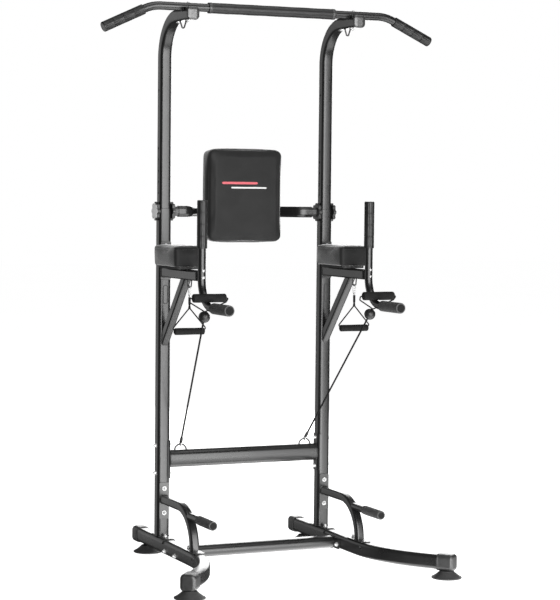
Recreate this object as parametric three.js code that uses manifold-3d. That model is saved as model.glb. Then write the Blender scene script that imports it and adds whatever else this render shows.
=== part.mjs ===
// A power tower: a free-standing frame for pull-ups, dips, leg raises and push-ups.
//
// Millimetres, +Z up. The front of the machine faces -Y. "right" is +X and "left" is -X, and the
// left side mirrors the right. Pieces are drawn about a point on the floor midway between the axes
// of the two uprights. The finished machine is then moved so that its footprint is centred on the
// origin.
import * as THREE from "three";
import { mergeVertices } from "three/addons/utils/BufferGeometryUtils.js";
import Module from "manifold-3d";

const wasm = await Module();
wasm.setup();

// ---------------------------------------------------------------- driving dimensions

const GAP = 0.3; // clearance between pieces that touch
const SIDE_X = 340; // from the middle plane to each upright's axis
const WALL = 1.5; // wall of the steel tubes

// Facets are kept coarse.
const CORNER_STEPS = 1; // three.js draws twice as many facets round each corner
const TUBE_SIDES = 12;
const WIRE_SIDES = 6;
const TURNED_SIDES = 14;

const RAIL = { width: 50, height: 55, corner: 14, bottom: 31 };
const RAIL_REAR_Y = 262;
const RAIL_BEND_Y = -332; // where the rail starts to splay outwards
const RAIL_BEND_RADIUS = 543;
const RAIL_SPLAY = THREE.MathUtils.degToRad(38);
const RAIL_TOE = 116; // straight length after the bend
const RAIL_Z = RAIL.bottom + RAIL.height / 2;
const RAIL_TOP = RAIL.bottom + RAIL.height;

const CAP = { width: 58, height: 62, corner: 17, end: 4 };
const FRONT_CAP_LENGTH = 64;
const REAR_CAP_LENGTH = 52;
const FOOT = { radius: 56, neck: 26, height: RAIL_Z - CAP.height / 2 - GAP };
const REAR_FOOT_Y = 150;
const FRONT_FOOT_SETBACK = 32; // from the toe cap's end face back to its foot

const UPRIGHT = { side: 50, corner: 12 };
const UPRIGHT_FOOT_Z = RAIL_TOP + GAP;
const UPRIGHT_TOP_Z = 1352;
const SADDLE = { plate: 4, front: 85, rear: 60, drop: 12 };

const MAST = { side: 46, corner: 11 }; // the upper upright that slides in the lower one
const MAST_BOTTOM_Z = 1150;
const MAST_ARM_Z = 2072; // axis of the mast's forward arm
const MAST_BEND = 150;
const MAST_TIP_Y = -287;
const MAST_HOLES_Z = [1410, 1452.5, 1495, 1537.5, 1580, 1802];
const HOLE_RADIUS = 4.5;
const HOOK = { wire: 3, half: 12, y: -192, drop: 36, bend: 5 }; // drop: down to where its legs would meet

const BAR = { radius: 15.5, y: -240, z: 2098, bendX: 480, tipX: 672, bendRadius: 150 };
const BAR_DROOP = THREE.MathUtils.degToRad(25);
const CENTRE_GRIP = { radius: 21, halfLength: 260 };
const END_GRIP = { radius: 19.5, length: 172 };

const KNOB = { z: 1341, radius: 33, lobe: 3, lobes: 8, thickness: 12 };
const STUD_RADIUS = 6;

const BACK_BAR = { height: 43, depth: 32, corner: 15, endX: 302, shoulderX: 252, backX: 166, backY: 99 };
const BACK_PAD = { width: 316, height: 365, front: -7, rear: 75, bottom: 1221, corner: 30 };

const ARM = { side: 38, corner: 8, z: 1109, front: -383.7 };
const ARM_PLATE = { width: 42, bottom: 1080, top: 1226, thickness: 3 };
const ARM_PAD = { width: 128, rear: -52, front: -287, bottom: 1129, height: 83, corner: 18 };
const ARM_BRACE = { width: 31, depth: 36, corner: 8, lowZ: 854, highY: -239 };
const EYE = { wire: 2.5, radius: 6.5, spread: 8.5, y: -278.5, z: 1068.5 }; // z: centre of its round bottom

const DIP = { radius: 15, y: -399, top: 1378, z: 997, bend: 104, tip: -661 };
const UPRIGHT_GRIP = { radius: 19.2, bottom: 1210, top: 1386 };
const DIP_GRIP = { radius: 20, rear: -516, front: -667 };

const CROSSBAR = { height: 67, depth: 46, corner: 20, z: 387 };
const CHANNEL = { height: 146, thickness: 3, lip: 12 }; // the bracket that clasps the upright
const RING = { x: 264, radius: 24, wire: 3 };
const BASE_BAR = { depth: 70, height: 46, corner: 18, y: -157, z: 52 };
const BASE_PLATE = { length: 146, height: 42, thickness: 4 };

const PUSH_BRACE = { side: 32, corner: 9, z: 234, bend: 145, y: -347 };
const PUSH_PLATE = { width: 40, bottom: 158, top: 300, thickness: 3 };
const PUSH_FOOT = { width: 44, rear: -282, front: -406, thickness: 3 };
const PUSH_HANDLE = { radius: 14, z: 210, root: -277, tip: -525 };
const PUSH_GRIP = { radius: 17, rear: -391, front: -531 };

const BAND = { radius: 3.5, start: 18 }; // start: how far along its line from the ring's top
const BALL = { radius: 21.5, x: 337, y: -420, z: 961 };
const BAND_CLIP = { radius: 7.4, wire: 2, rise: 1.6, stem: 4 };
const BRIDLE_RADIUS = 2.5;
const BAND_HANDLE = { radius: 16, halfLength: 64, x: 342, y: -479.2, z: 1032.8 };

const CARABINER = { wire: 2.2, radius: 9, stretch: 10.6 };
const STRAP = { width: 9, thickness: 5, apex: 986 };
const SWING_HANDLE = { radius: 13, halfLength: 61, z: 899 };

// ---------------------------------------------------------------- materials

const steel = material(0x3a3b3d, 0.42, 0.35);
const silver = material(0xb4b6b8, 0.3, 0.9);
const softCap = material(0x9c9c9c, 0.55, 0);
const plastic = material(0x242425, 0.5, 0);
const foam = material(0x2a2a2b, 0.9, 0);
const vinyl = material(0x47474a, 0.6, 0);
const rubber = material(0x2b2b2c, 0.85, 0);
const cordage = material(0x19191a, 0.8, 0);

function material(color, roughness, metalness) {
  return new THREE.MeshStandardMaterial({ color, roughness, metalness });
}

// ---------------------------------------------------------------- solids and booleans

// A closed geometry as a manifold solid, with its shared vertices merged.
function solid(geometry) {
  const bare = geometry.index ? geometry.toNonIndexed() : geometry.clone();
  bare.deleteAttribute("normal");
  bare.deleteAttribute("uv");
  const merged = mergeVertices(bare, 1e-3);
  return new wasm.Manifold(
    new wasm.Mesh({
      numProp: 3,
      vertProperties: merged.attributes.position.array,
      triVerts: new Uint32Array(merged.index.array),
    }),
  );
}

function geometryOf(manifold) {
  const mesh = manifold.getMesh();
  const geometry = new THREE.BufferGeometry();
  geometry.setAttribute("position", new THREE.BufferAttribute(mesh.vertProperties, 3));
  geometry.setIndex(new THREE.BufferAttribute(mesh.triVerts, 1));
  return geometry;
}

function join(...geometries) {
  return geometryOf(geometries.map(solid).reduce((sum, piece) => sum.add(piece)));
}

function cut(geometry, ...tools) {
  return geometryOf(tools.map(solid).reduce((rest, tool) => rest.subtract(tool), solid(geometry)));
}

function keep(geometry, region) {
  return geometryOf(solid(geometry).intersect(solid(region)));
}

// ---------------------------------------------------------------- outlines and paths

// A rectangle with round corners, centred on the origin.
function roundedRect(width, height, corner, outline = new THREE.Shape()) {
  const x = width / 2 - corner;
  const y = height / 2 - corner;
  outline.absarc(x, y, corner, 0, Math.PI / 2);
  outline.absarc(-x, y, corner, Math.PI / 2, Math.PI);
  outline.absarc(-x, -y, corner, Math.PI, 1.5 * Math.PI);
  outline.absarc(x, -y, corner, 1.5 * Math.PI, 2 * Math.PI);
  return outline;
}

// The same rectangle as the wall of a tube.
function tubeSection(width, height, corner, wall = WALL) {
  const section = roundedRect(width, height, corner);
  section.holes.push(roundedRect(width - 2 * wall, height - 2 * wall, corner - wall, new THREE.Path()));
  return section;
}

function circle(radius, sides, centreY = 0) {
  const points = [];
  for (let i = 0; i < sides; i++) {
    const turn = (2 * Math.PI * i) / sides;
    points.push(new THREE.Vector2(radius * Math.cos(turn), centreY + radius * Math.sin(turn)));
  }
  return new THREE.Shape(points);
}

function roundTubeSection(radius, wall = WALL) {
  const section = circle(radius, TUBE_SIDES);
  section.holes.push(circle(radius - wall, TUBE_SIDES));
  return section;
}

// A path in one plane. A section swept along it keeps its y axis along the plane's normal.
class PlanePath extends THREE.Curve {
  constructor(points, planeNormal) {
    super();
    this.points = points;
    this.planeNormal = planeNormal.clone().normalize();
  }

  getSpacedPoints() {
    return this.points;
  }

  computeFrenetFrames() {
    const last = this.points.length - 1;
    const tangents = this.points.map((_, i) =>
      this.points[Math.min(i + 1, last)].clone().sub(this.points[Math.max(i - 1, 0)]).normalize(),
    );
    const binormals = this.points.map(() => this.planeNormal);
    const normals = tangents.map((t) => new THREE.Vector3().crossVectors(this.planeNormal, t));
    return { tangents, normals, binormals };
  }
}

const X = new THREE.Vector3(1, 0, 0);
const Y = new THREE.Vector3(0, 1, 0);
const Z = new THREE.Vector3(0, 0, 1);

function point(x, y, z) {
  return new THREE.Vector3(x, y, z);
}

// Sweeps a section along points that lie in one plane; across is that plane's normal.
function sweep(section, points, across) {
  return new THREE.ExtrudeGeometry(section, {
    steps: points.length - 1,
    curveSegments: CORNER_STEPS,
    extrudePath: new PlanePath(points, across),
  });
}

// Points of a route through corners, each corner rounded to the given radius.
function rounded(corners, radius, steps = 6) {
  const points = [corners[0]];
  for (let i = 1; i < corners.length - 1; i++) {
    const back = corners[i - 1].clone().sub(corners[i]).normalize();
    const ahead = corners[i + 1].clone().sub(corners[i]).normalize();
    const half = back.angleTo(ahead) / 2;
    const centre = corners[i]
      .clone()
      .addScaledVector(back.clone().add(ahead).normalize(), radius / Math.sin(half));
    const from = corners[i].clone().addScaledVector(back, radius / Math.tan(half)).sub(centre);
    const to = corners[i].clone().addScaledVector(ahead, radius / Math.tan(half)).sub(centre);
    const axis = from.clone().cross(to).normalize();
    for (let k = 0; k <= steps; k++)
      points.push(from.clone().applyAxisAngle(axis, (from.angleTo(to) * k) / steps).add(centre));
  }
  points.push(corners[corners.length - 1]);
  return points;
}

// A round bar lying from one point to another.
function rod(radius, from, to, sides = 12) {
  const along = to.clone().sub(from);
  const bar = new THREE.CylinderGeometry(radius, radius, along.length(), sides);
  bar.applyQuaternion(new THREE.Quaternion().setFromUnitVectors(Y, along.clone().normalize()));
  const middle = from.clone().add(to).multiplyScalar(0.5);
  return bar.translate(middle.x, middle.y, middle.z);
}

// A box given by its lowest and highest corners.
function block(low, high) {
  const size = high.map((v, i) => v - low[i]);
  const mid = high.map((v, i) => (v + low[i]) / 2);
  return new THREE.BoxGeometry(...size).translate(...mid);
}

// A turned profile, drawn as [radius, height] along +Z, moved so that +Z lies along a direction.
function turned(profile, at, along = Z, segments = TURNED_SIDES) {
  const outline = profile.map(([r, h]) => new THREE.Vector2(r, h));
  const lathe = new THREE.LatheGeometry(outline, segments).rotateX(Math.PI / 2);
  lathe.applyQuaternion(new THREE.Quaternion().setFromUnitVectors(Z, along));
  return lathe.translate(at.x, at.y, at.z);
}

// A blind grip: a sleeve with one closed, slightly domed end at height zero, open at -length.
function gripSleeve(radius, bore, length, at, along) {
  const dome = 4;
  return turned(
    [
      [0, -dome - 1],
      [bore, -dome - 1],
      [bore, -length],
      [radius, -length],
      [radius, -dome],
      [radius * 0.8, 0],
      [0, 0],
    ],
    at,
    along,
  );
}

// The radius at which a bore's facets clear a round piece inside it.
function clearing(radius, sides = TURNED_SIDES) {
  return (radius + GAP) / Math.cos(Math.PI / sides);
}

// ---------------------------------------------------------------- base

function railPath() {
  const points = [point(SIDE_X, RAIL_REAR_Y - CAP.end - GAP, RAIL_Z)];
  const steps = 5;
  for (let i = 0; i <= steps; i++) {
    const turn = (RAIL_SPLAY * i) / steps;
    points.push(
      point(
        SIDE_X + RAIL_BEND_RADIUS * (1 - Math.cos(turn)),
        RAIL_BEND_Y - RAIL_BEND_RADIUS * Math.sin(turn),
        RAIL_Z,
      ),
    );
  }
  points.push(points[points.length - 1].clone().addScaledVector(railToeDirection(), RAIL_TOE));
  return points;
}

function railToeDirection() {
  return point(Math.sin(RAIL_SPLAY), -Math.cos(RAIL_SPLAY), 0);
}

function railToe() {
  return railPath().pop();
}

function baseRail() {
  return sweep(tubeSection(RAIL.width, RAIL.height, RAIL.corner), railPath(), Z);
}

// A cup that fits over a rail's end. Its closed end faces along the given direction.
function railCap(length, endFace, direction) {
  const bevel = 3;
  const outer = new THREE.ExtrudeGeometry(
    roundedRect(CAP.width - 2 * bevel, CAP.height - 2 * bevel, CAP.corner - bevel),
    {
      depth: length - 2 * bevel,
      bevelThickness: bevel,
      bevelSize: bevel,
      bevelSegments: 2,
      curveSegments: CORNER_STEPS,
    },
  ).translate(0, 0, -length + bevel);
  const bore = new THREE.ExtrudeGeometry(
    roundedRect(RAIL.width + 2 * GAP, RAIL.height + 2 * GAP, RAIL.corner + GAP),
    { depth: length, bevelEnabled: false, curveSegments: CORNER_STEPS },
  ).translate(0, 0, -length - CAP.end);
  const sideways = Z.clone().cross(direction);
  return cut(outer, bore)
    .applyMatrix4(new THREE.Matrix4().makeBasis(sideways, Z, direction.clone()))
    .translate(endFace.x, endFace.y, endFace.z);
}

// A suction foot: a shallow cone with a hollow underside and a flat rim.
function foot(x, y) {
  const rim = 5;
  return turned(
    [
      [0, 12],
      [FOOT.neck, 9],
      [FOOT.radius - 14, 0],
      [FOOT.radius - 2, 0],
      [FOOT.radius, 2],
      [FOOT.radius, rim],
      [FOOT.neck + 2, FOOT.height - 3],
      [FOOT.neck, FOOT.height],
      [0, FOOT.height],
    ],
    point(x, y, 0),
    Z,
  );
}

function baseCrossbar() {
  const inner = SIDE_X - RAIL.width / 2 - GAP;
  const bar = sweep(
    tubeSection(BASE_BAR.height, BASE_BAR.depth, BASE_BAR.corner),
    [point(-inner + 1, BASE_BAR.y, BASE_BAR.z), point(inner - 1, BASE_BAR.y, BASE_BAR.z)],
    Y,
  );
  const plates = [-1, 1].map((side) => {
    const outline = roundedRect(BASE_PLATE.length, BASE_PLATE.height, 8);
    outline.holes.push(circle(8, WIRE_SIDES));
    return new THREE.ExtrudeGeometry(outline, {
      depth: BASE_PLATE.thickness,
      bevelEnabled: false,
      curveSegments: CORNER_STEPS,
    })
      .rotateX(Math.PI / 2)
      .rotateZ(Math.PI / 2)
      .translate(side > 0 ? inner - BASE_PLATE.thickness : -inner, BASE_BAR.y, BASE_BAR.z);
  });
  return join(bar, ...plates);
}

// ---------------------------------------------------------------- lower uprights

// The tube, with its holes for the knobs' studs, on a saddle plate that wraps the top of the rail.
function lowerUpright() {
  const tube = sweep(
    tubeSection(UPRIGHT.side, UPRIGHT.side, UPRIGHT.corner),
    [
      point(SIDE_X, 0, UPRIGHT_FOOT_Z + SADDLE.plate - 1),
      point(SIDE_X, 0, UPRIGHT_TOP_Z),
    ],
    X,
  );
  const reach = SADDLE.front + SADDLE.rear;
  const wrap = roundedRect(
    RAIL.width + 2 * (SADDLE.plate + GAP),
    RAIL.height + 2 * (SADDLE.plate + GAP),
    RAIL.corner + SADDLE.plate,
  );
  wrap.holes.push(
    roundedRect(RAIL.width + 2 * GAP, RAIL.height + 2 * GAP, RAIL.corner + GAP, new THREE.Path()),
  );
  const saddle = new THREE.ExtrudeGeometry(wrap, { depth: reach, bevelEnabled: false, curveSegments: CORNER_STEPS })
    .rotateX(Math.PI / 2)
    .translate(SIDE_X, SADDLE.rear, RAIL_Z);
  const upperPart = block(
    [SIDE_X - RAIL.width, -SADDLE.front, RAIL_TOP - SADDLE.drop],
    [SIDE_X + RAIL.width, SADDLE.rear, RAIL_TOP + 2 * SADDLE.plate],
  );
  const studs = rod(
    STUD_RADIUS + 2 * GAP,
    point(SIDE_X - UPRIGHT.side, 0, KNOB.z),
    point(SIDE_X + UPRIGHT.side, 0, KNOB.z),
  );
  const drain = rod(8, point(SIDE_X, 0, RAIL_TOP - 5), point(SIDE_X, 0, RAIL_TOP + 20));
  return cut(join(tube, keep(saddle, upperPart)), studs, drain);
}

// An oval tube between the uprights, with a channel at each end and a wire ring for each band.
function lowerCrossbar() {
  const face = SIDE_X - UPRIGHT.side / 2 - GAP;
  const bar = sweep(
    tubeSection(CROSSBAR.height, CROSSBAR.depth, CROSSBAR.corner),
    [point(-face + 1, 0, CROSSBAR.z), point(face - 1, 0, CROSSBAR.z)],
    Y,
  );
  const pieces = [bar];
  for (const side of [-1, 1]) {
    const outer = UPRIGHT.side + 2 * (CHANNEL.thickness + GAP);
    const wrap = roundedRect(outer, outer, UPRIGHT.corner + CHANNEL.thickness);
    wrap.holes.push(
      roundedRect(UPRIGHT.side + 2 * GAP, UPRIGHT.side + 2 * GAP, UPRIGHT.corner + GAP, new THREE.Path()),
    );
    const sleeve = new THREE.ExtrudeGeometry(wrap, {
      depth: CHANNEL.height,
      bevelEnabled: false,
      curveSegments: CORNER_STEPS,
    }).translate(side * SIDE_X, 0, CROSSBAR.z - CHANNEL.height / 2);
    const inward = side * (SIDE_X - outer / 2 - 1);
    const lip = side * (SIDE_X - UPRIGHT.side / 2 + CHANNEL.lip);
    const region = block(
      [Math.min(inward, lip), -outer, CROSSBAR.z - CHANNEL.height],
      [Math.max(inward, lip), outer, CROSSBAR.z + CHANNEL.height],
    );
    const vent = rod(8, point(side * (face - 12), 0, CROSSBAR.z), point(side * SIDE_X, 0, CROSSBAR.z));
    pieces.push(cut(keep(sleeve, region), vent), bandRing(side));
  }
  return join(...pieces);
}

// A wire arch that stands on the crossbar.
function bandRing(side) {
  const points = [];
  const steps = 8;
  for (let i = 0; i <= steps; i++) {
    const turn = (Math.PI * i) / steps;
    const sunk = (1 - Math.sin(turn)) * RING.radius;
    points.push(point(side * RING.x + RING.radius * Math.cos(turn), 0, ringTop().z - sunk));
  }
  return sweep(circle(RING.wire, WIRE_SIDES), points, Y);
}

function ringTop() {
  return point(RING.x, 0, CROSSBAR.z + CROSSBAR.height / 2 - RING.wire + RING.radius);
}

// ---------------------------------------------------------------- push-up handles

// A curved brace from the upright to the rail, its two bolting plates and the tube of its handle.
function pushUpBrace() {
  const front = -UPRIGHT.side / 2 - GAP;
  const tube = sweep(
    tubeSection(PUSH_BRACE.side, PUSH_BRACE.side, PUSH_BRACE.corner),
    rounded(
      [
        point(SIDE_X, front - 1, PUSH_BRACE.z),
        point(SIDE_X, PUSH_BRACE.y, PUSH_BRACE.z),
        point(SIDE_X, PUSH_BRACE.y, RAIL_TOP + GAP + 1),
      ],
      PUSH_BRACE.bend,
    ),
    X,
  );
  const plateOutline = roundedRect(PUSH_PLATE.width, PUSH_PLATE.top - PUSH_PLATE.bottom, 6);
  plateOutline.holes.push(
    circle(7, WIRE_SIDES, PUSH_BRACE.z - (PUSH_PLATE.top + PUSH_PLATE.bottom) / 2),
  );
  const plate = new THREE.ExtrudeGeometry(plateOutline, {
    depth: PUSH_PLATE.thickness,
    bevelEnabled: false,
    curveSegments: CORNER_STEPS,
  })
    .rotateX(Math.PI / 2)
    .translate(SIDE_X, front, (PUSH_PLATE.top + PUSH_PLATE.bottom) / 2);
  const footOutline = roundedRect(PUSH_FOOT.width, PUSH_FOOT.rear - PUSH_FOOT.front, 6);
  footOutline.holes.push(circle(7, WIRE_SIDES));
  const footPlate = new THREE.ExtrudeGeometry(footOutline, {
    depth: PUSH_FOOT.thickness,
    bevelEnabled: false,
    curveSegments: CORNER_STEPS,
  }).translate(SIDE_X + 1, (PUSH_FOOT.rear + PUSH_FOOT.front) / 2, RAIL_TOP + GAP);
  const handle = sweep(
    roundTubeSection(PUSH_HANDLE.radius),
    [point(SIDE_X, PUSH_HANDLE.root, PUSH_HANDLE.z), point(SIDE_X, PUSH_HANDLE.tip, PUSH_HANDLE.z)],
    X,
  );
  return join(tube, plate, footPlate, keep(handle, aheadOfBrace()));
}

// The space in front of the brace's curve, so that the handle's tube stops at the brace's wall.
function aheadOfBrace() {
  const centreY = PUSH_BRACE.y + PUSH_BRACE.bend;
  const centreZ = PUSH_BRACE.z - PUSH_BRACE.bend;
  const everything = block(
    [SIDE_X - 50, PUSH_HANDLE.tip - 10, PUSH_HANDLE.z - 50],
    [SIDE_X + 50, PUSH_HANDLE.root + 10, PUSH_HANDLE.z + 50],
  );
  const inside = rod(
    PUSH_BRACE.bend + PUSH_BRACE.side / 2 - 1,
    point(SIDE_X - 60, centreY, centreZ),
    point(SIDE_X + 60, centreY, centreZ),
    48,
  );
  return cut(everything, inside);
}

function pushUpGrip() {
  return gripSleeve(
    PUSH_GRIP.radius,
    clearing(PUSH_HANDLE.radius),
    PUSH_GRIP.rear - PUSH_GRIP.front,
    point(SIDE_X, PUSH_GRIP.front, PUSH_HANDLE.z),
    Y.clone().negate(),
  );
}

// ---------------------------------------------------------------- dip station

// A straight tube forward from the upright, with its bolting plate and the eye for a swinging handle.
function armTube() {
  const rear = -UPRIGHT.side / 2 - GAP;
  const tube = sweep(
    tubeSection(ARM.side, ARM.side, ARM.corner),
    [point(SIDE_X, rear - 1, ARM.z), point(SIDE_X, ARM.front, ARM.z)],
    X,
  );
  const plate = new THREE.ExtrudeGeometry(
    roundedRect(ARM_PLATE.width, ARM_PLATE.top - ARM_PLATE.bottom, 6),
    { depth: ARM_PLATE.thickness, bevelEnabled: false, curveSegments: CORNER_STEPS },
  )
    .rotateX(Math.PI / 2)
    .translate(SIDE_X, rear, (ARM_PLATE.top + ARM_PLATE.bottom) / 2);
  const under = ARM.z - ARM.side / 2 + 1;
  const eye = [point(SIDE_X - EYE.spread, EYE.y, under)];
  const steps = 6;
  for (let i = 0; i <= steps; i++) {
    const turn = (Math.PI * i) / steps;
    eye.push(
      point(SIDE_X - EYE.radius * Math.cos(turn), EYE.y, EYE.z - EYE.radius * Math.sin(turn)),
    );
  }
  eye.push(point(SIDE_X + EYE.spread, EYE.y, under));
  return join(tube, plate, sweep(circle(EYE.wire, WIRE_SIDES), eye, Y));
}

// A straight diagonal from the upright up to the arm, cut flush with both.
function armBrace() {
  const front = -UPRIGHT.side / 2 - GAP;
  const under = ARM.z - ARM.side / 2 - GAP;
  const low = point(SIDE_X, front, ARM_BRACE.lowZ);
  const high = point(SIDE_X, ARM_BRACE.highY, under);
  const along = high.clone().sub(low).normalize().multiplyScalar(60);
  const tube = sweep(
    tubeSection(ARM_BRACE.depth, ARM_BRACE.width, ARM_BRACE.corner),
    [low.clone().sub(along), high.clone().add(along)],
    X,
  );
  return keep(tube, block([0, -600, 600], [2 * SIDE_X, front, under]));
}

// A cushion on a thin board, its top edges rounded over.
function armPad() {
  const round = 10;
  const length = ARM_PAD.rear - ARM_PAD.front;
  const middle = (ARM_PAD.rear + ARM_PAD.front) / 2;
  const board = 9;
  const cushion = new THREE.ExtrudeGeometry(
    roundedRect(ARM_PAD.width - 2 * round, length - 2 * round, ARM_PAD.corner - round),
    {
      depth: ARM_PAD.height - board - 2 * round,
      bevelThickness: round,
      bevelSize: round,
      bevelSegments: 2,
      curveSegments: CORNER_STEPS,
    },
  ).translate(SIDE_X, middle, ARM_PAD.bottom + board + round);
  const boardPiece = block(
    [SIDE_X - ARM_PAD.width / 2 + 14, ARM_PAD.front + 14, ARM_PAD.bottom],
    [SIDE_X + ARM_PAD.width / 2 - 14, ARM_PAD.rear - 14, ARM_PAD.bottom + board + 2],
  );
  return join(cushion, boardPiece);
}

// One round tube: an upright handle that bends forward into the dip bar.
function dipTube() {
  return sweep(
    roundTubeSection(DIP.radius),
    rounded(
      [
        point(SIDE_X, DIP.y, DIP.top),
        point(SIDE_X, DIP.y, DIP.z),
        point(SIDE_X, DIP.tip, DIP.z),
      ],
      DIP.bend,
    ),
    X,
  );
}

function uprightGrip() {
  return gripSleeve(
    UPRIGHT_GRIP.radius,
    clearing(DIP.radius),
    UPRIGHT_GRIP.top - UPRIGHT_GRIP.bottom,
    point(SIDE_X, DIP.y, UPRIGHT_GRIP.top),
    Z,
  );
}

function dipGrip() {
  return gripSleeve(
    DIP_GRIP.radius,
    clearing(DIP.radius),
    DIP_GRIP.rear - DIP_GRIP.front,
    point(SIDE_X, DIP_GRIP.front, DIP.z),
    Y.clone().negate(),
  );
}

// ---------------------------------------------------------------- sliding upper frame

// The mast: a square tube that bends forward, drilled for height, notched for the pull-up bar,
// with a wire hook under its arm.
function upperUpright() {
  const tube = sweep(
    tubeSection(MAST.side, MAST.side, MAST.corner),
    rounded(
      [
        point(SIDE_X, 0, MAST_BOTTOM_Z),
        point(SIDE_X, 0, MAST_ARM_Z),
        point(SIDE_X, MAST_TIP_Y, MAST_ARM_Z),
      ],
      MAST_BEND,
    ),
    X,
  );
  const holes = MAST_HOLES_Z.map((z) =>
    rod(HOLE_RADIUS, point(SIDE_X - MAST.side, 0, z), point(SIDE_X + MAST.side, 0, z), 8),
  );
  const notch = rod(
    clearing(BAR.radius, 16),
    point(SIDE_X - MAST.side, BAR.y, BAR.z),
    point(SIDE_X + MAST.side, BAR.y, BAR.z),
    16,
  );
  const under = MAST_ARM_Z - MAST.side / 2 + 1;
  const hook = rounded(
    [
      point(SIDE_X - HOOK.half, HOOK.y, under),
      point(SIDE_X, HOOK.y, under - HOOK.drop),
      point(SIDE_X + HOOK.half, HOOK.y, under),
    ],
    HOOK.bend,
    3,
  );
  return join(cut(tube, ...holes, notch), sweep(circle(HOOK.wire, WIRE_SIDES), hook, Y));
}

function topCap() {
  const bevel = 3;
  const side = MAST.side + 4;
  return new THREE.ExtrudeGeometry(roundedRect(side - 2 * bevel, side - 2 * bevel, MAST.corner - 1), {
    depth: 6,
    bevelThickness: bevel,
    bevelSize: bevel,
    bevelSegments: 2,
    curveSegments: CORNER_STEPS,
  })
    .rotateX(Math.PI / 2)
    .translate(SIDE_X, MAST_TIP_Y - GAP - bevel, MAST_ARM_Z);
}

function barTip() {
  return point(BAR.tipX, BAR.y, BAR.z - (BAR.tipX - BAR.bendX) * Math.tan(BAR_DROOP));
}

function pullUpBar() {
  const tip = barTip().addScaledVector(barTipDirection(), -CAP.end - 2);
  const route = rounded(
    [
      point(-tip.x, tip.y, tip.z),
      point(-BAR.bendX, BAR.y, BAR.z),
      point(BAR.bendX, BAR.y, BAR.z),
      tip,
    ],
    BAR.bendRadius,
    3,
  );
  return sweep(roundTubeSection(BAR.radius), route, Y);
}

function barTipDirection() {
  return point(Math.cos(BAR_DROOP), 0, -Math.sin(BAR_DROOP));
}

function centreGrip() {
  const end = CENTRE_GRIP.halfLength;
  const bore = clearing(BAR.radius);
  return turned(
    [
      [bore, -end],
      [CENTRE_GRIP.radius, -end],
      [CENTRE_GRIP.radius, end],
      [bore, end],
      [bore, -end],
    ],
    point(0, BAR.y, BAR.z),
    X,
  );
}

function endGrip() {
  return gripSleeve(END_GRIP.radius, clearing(BAR.radius), END_GRIP.length, barTip(), barTipDirection());
}

// ---------------------------------------------------------------- backrest and knobs

// An oval bar that steps back behind the cushion, with a stud at each end and a mounting plate.
function backrestBar() {
  const route = rounded(
    [
      point(-BACK_BAR.endX, 0, KNOB.z),
      point(-BACK_BAR.shoulderX + 12, 0, KNOB.z),
      point(-BACK_BAR.backX, BACK_BAR.backY, KNOB.z),
      point(BACK_BAR.backX, BACK_BAR.backY, KNOB.z),
      point(BACK_BAR.shoulderX - 12, 0, KNOB.z),
      point(BACK_BAR.endX, 0, KNOB.z),
    ],
    36,
    2,
  );
  const bar = sweep(
    tubeSection(BACK_BAR.depth, BACK_BAR.height, BACK_BAR.corner),
    route,
    Z.clone().negate(),
  );
  const studs = [-1, 1].map((side) =>
    rod(
      STUD_RADIUS,
      point(side * (BACK_BAR.endX - 8), 0, KNOB.z),
      point(side * (SIDE_X - MAST.side / 2 - 2 * GAP), 0, KNOB.z),
    ),
  );
  const ends = [-1, 1].map((side) =>
    new THREE.ExtrudeGeometry(
      roundedRect(BACK_BAR.depth - 1, BACK_BAR.height - 1, BACK_BAR.corner - 1),
      { depth: 4, bevelEnabled: false, curveSegments: CORNER_STEPS },
    )
      .rotateX(Math.PI / 2)
      .rotateZ(Math.PI / 2)
      .translate(side > 0 ? BACK_BAR.endX - 6 : -BACK_BAR.endX + 2, 0, KNOB.z),
  );
  const plate = block(
    [-70, BACK_PAD.rear + GAP, KNOB.z - 45],
    [70, BACK_PAD.rear + GAP + 4, KNOB.z + 125],
  );
  const standoffs = [-1, 1].map((side) =>
    block(
      [side * 45 - 12, BACK_PAD.rear + 3, KNOB.z - 12],
      [side * 45 + 12, BACK_BAR.backY - BACK_BAR.depth / 2 + 1, KNOB.z + 12],
    ),
  );
  const drain = rod(3, point(0, BACK_BAR.backY, KNOB.z - 40), point(0, BACK_BAR.backY, KNOB.z), 8);
  return cut(join(bar, ...studs, ...ends, plate, ...standoffs), drain);
}

// The cushion, its front edges rounded over.
function backPad() {
  const round = 14;
  return new THREE.ExtrudeGeometry(
    roundedRect(BACK_PAD.width - 2 * round, BACK_PAD.height - 2 * round, BACK_PAD.corner - round),
    {
      depth: BACK_PAD.rear - BACK_PAD.front - 2 * round,
      bevelThickness: round,
      bevelSize: round,
      bevelSegments: 2,
      curveSegments: CORNER_STEPS,
    },
  )
    .rotateX(Math.PI / 2)
    .translate(0, BACK_PAD.rear - round, BACK_PAD.bottom + BACK_PAD.height / 2);
}

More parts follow.
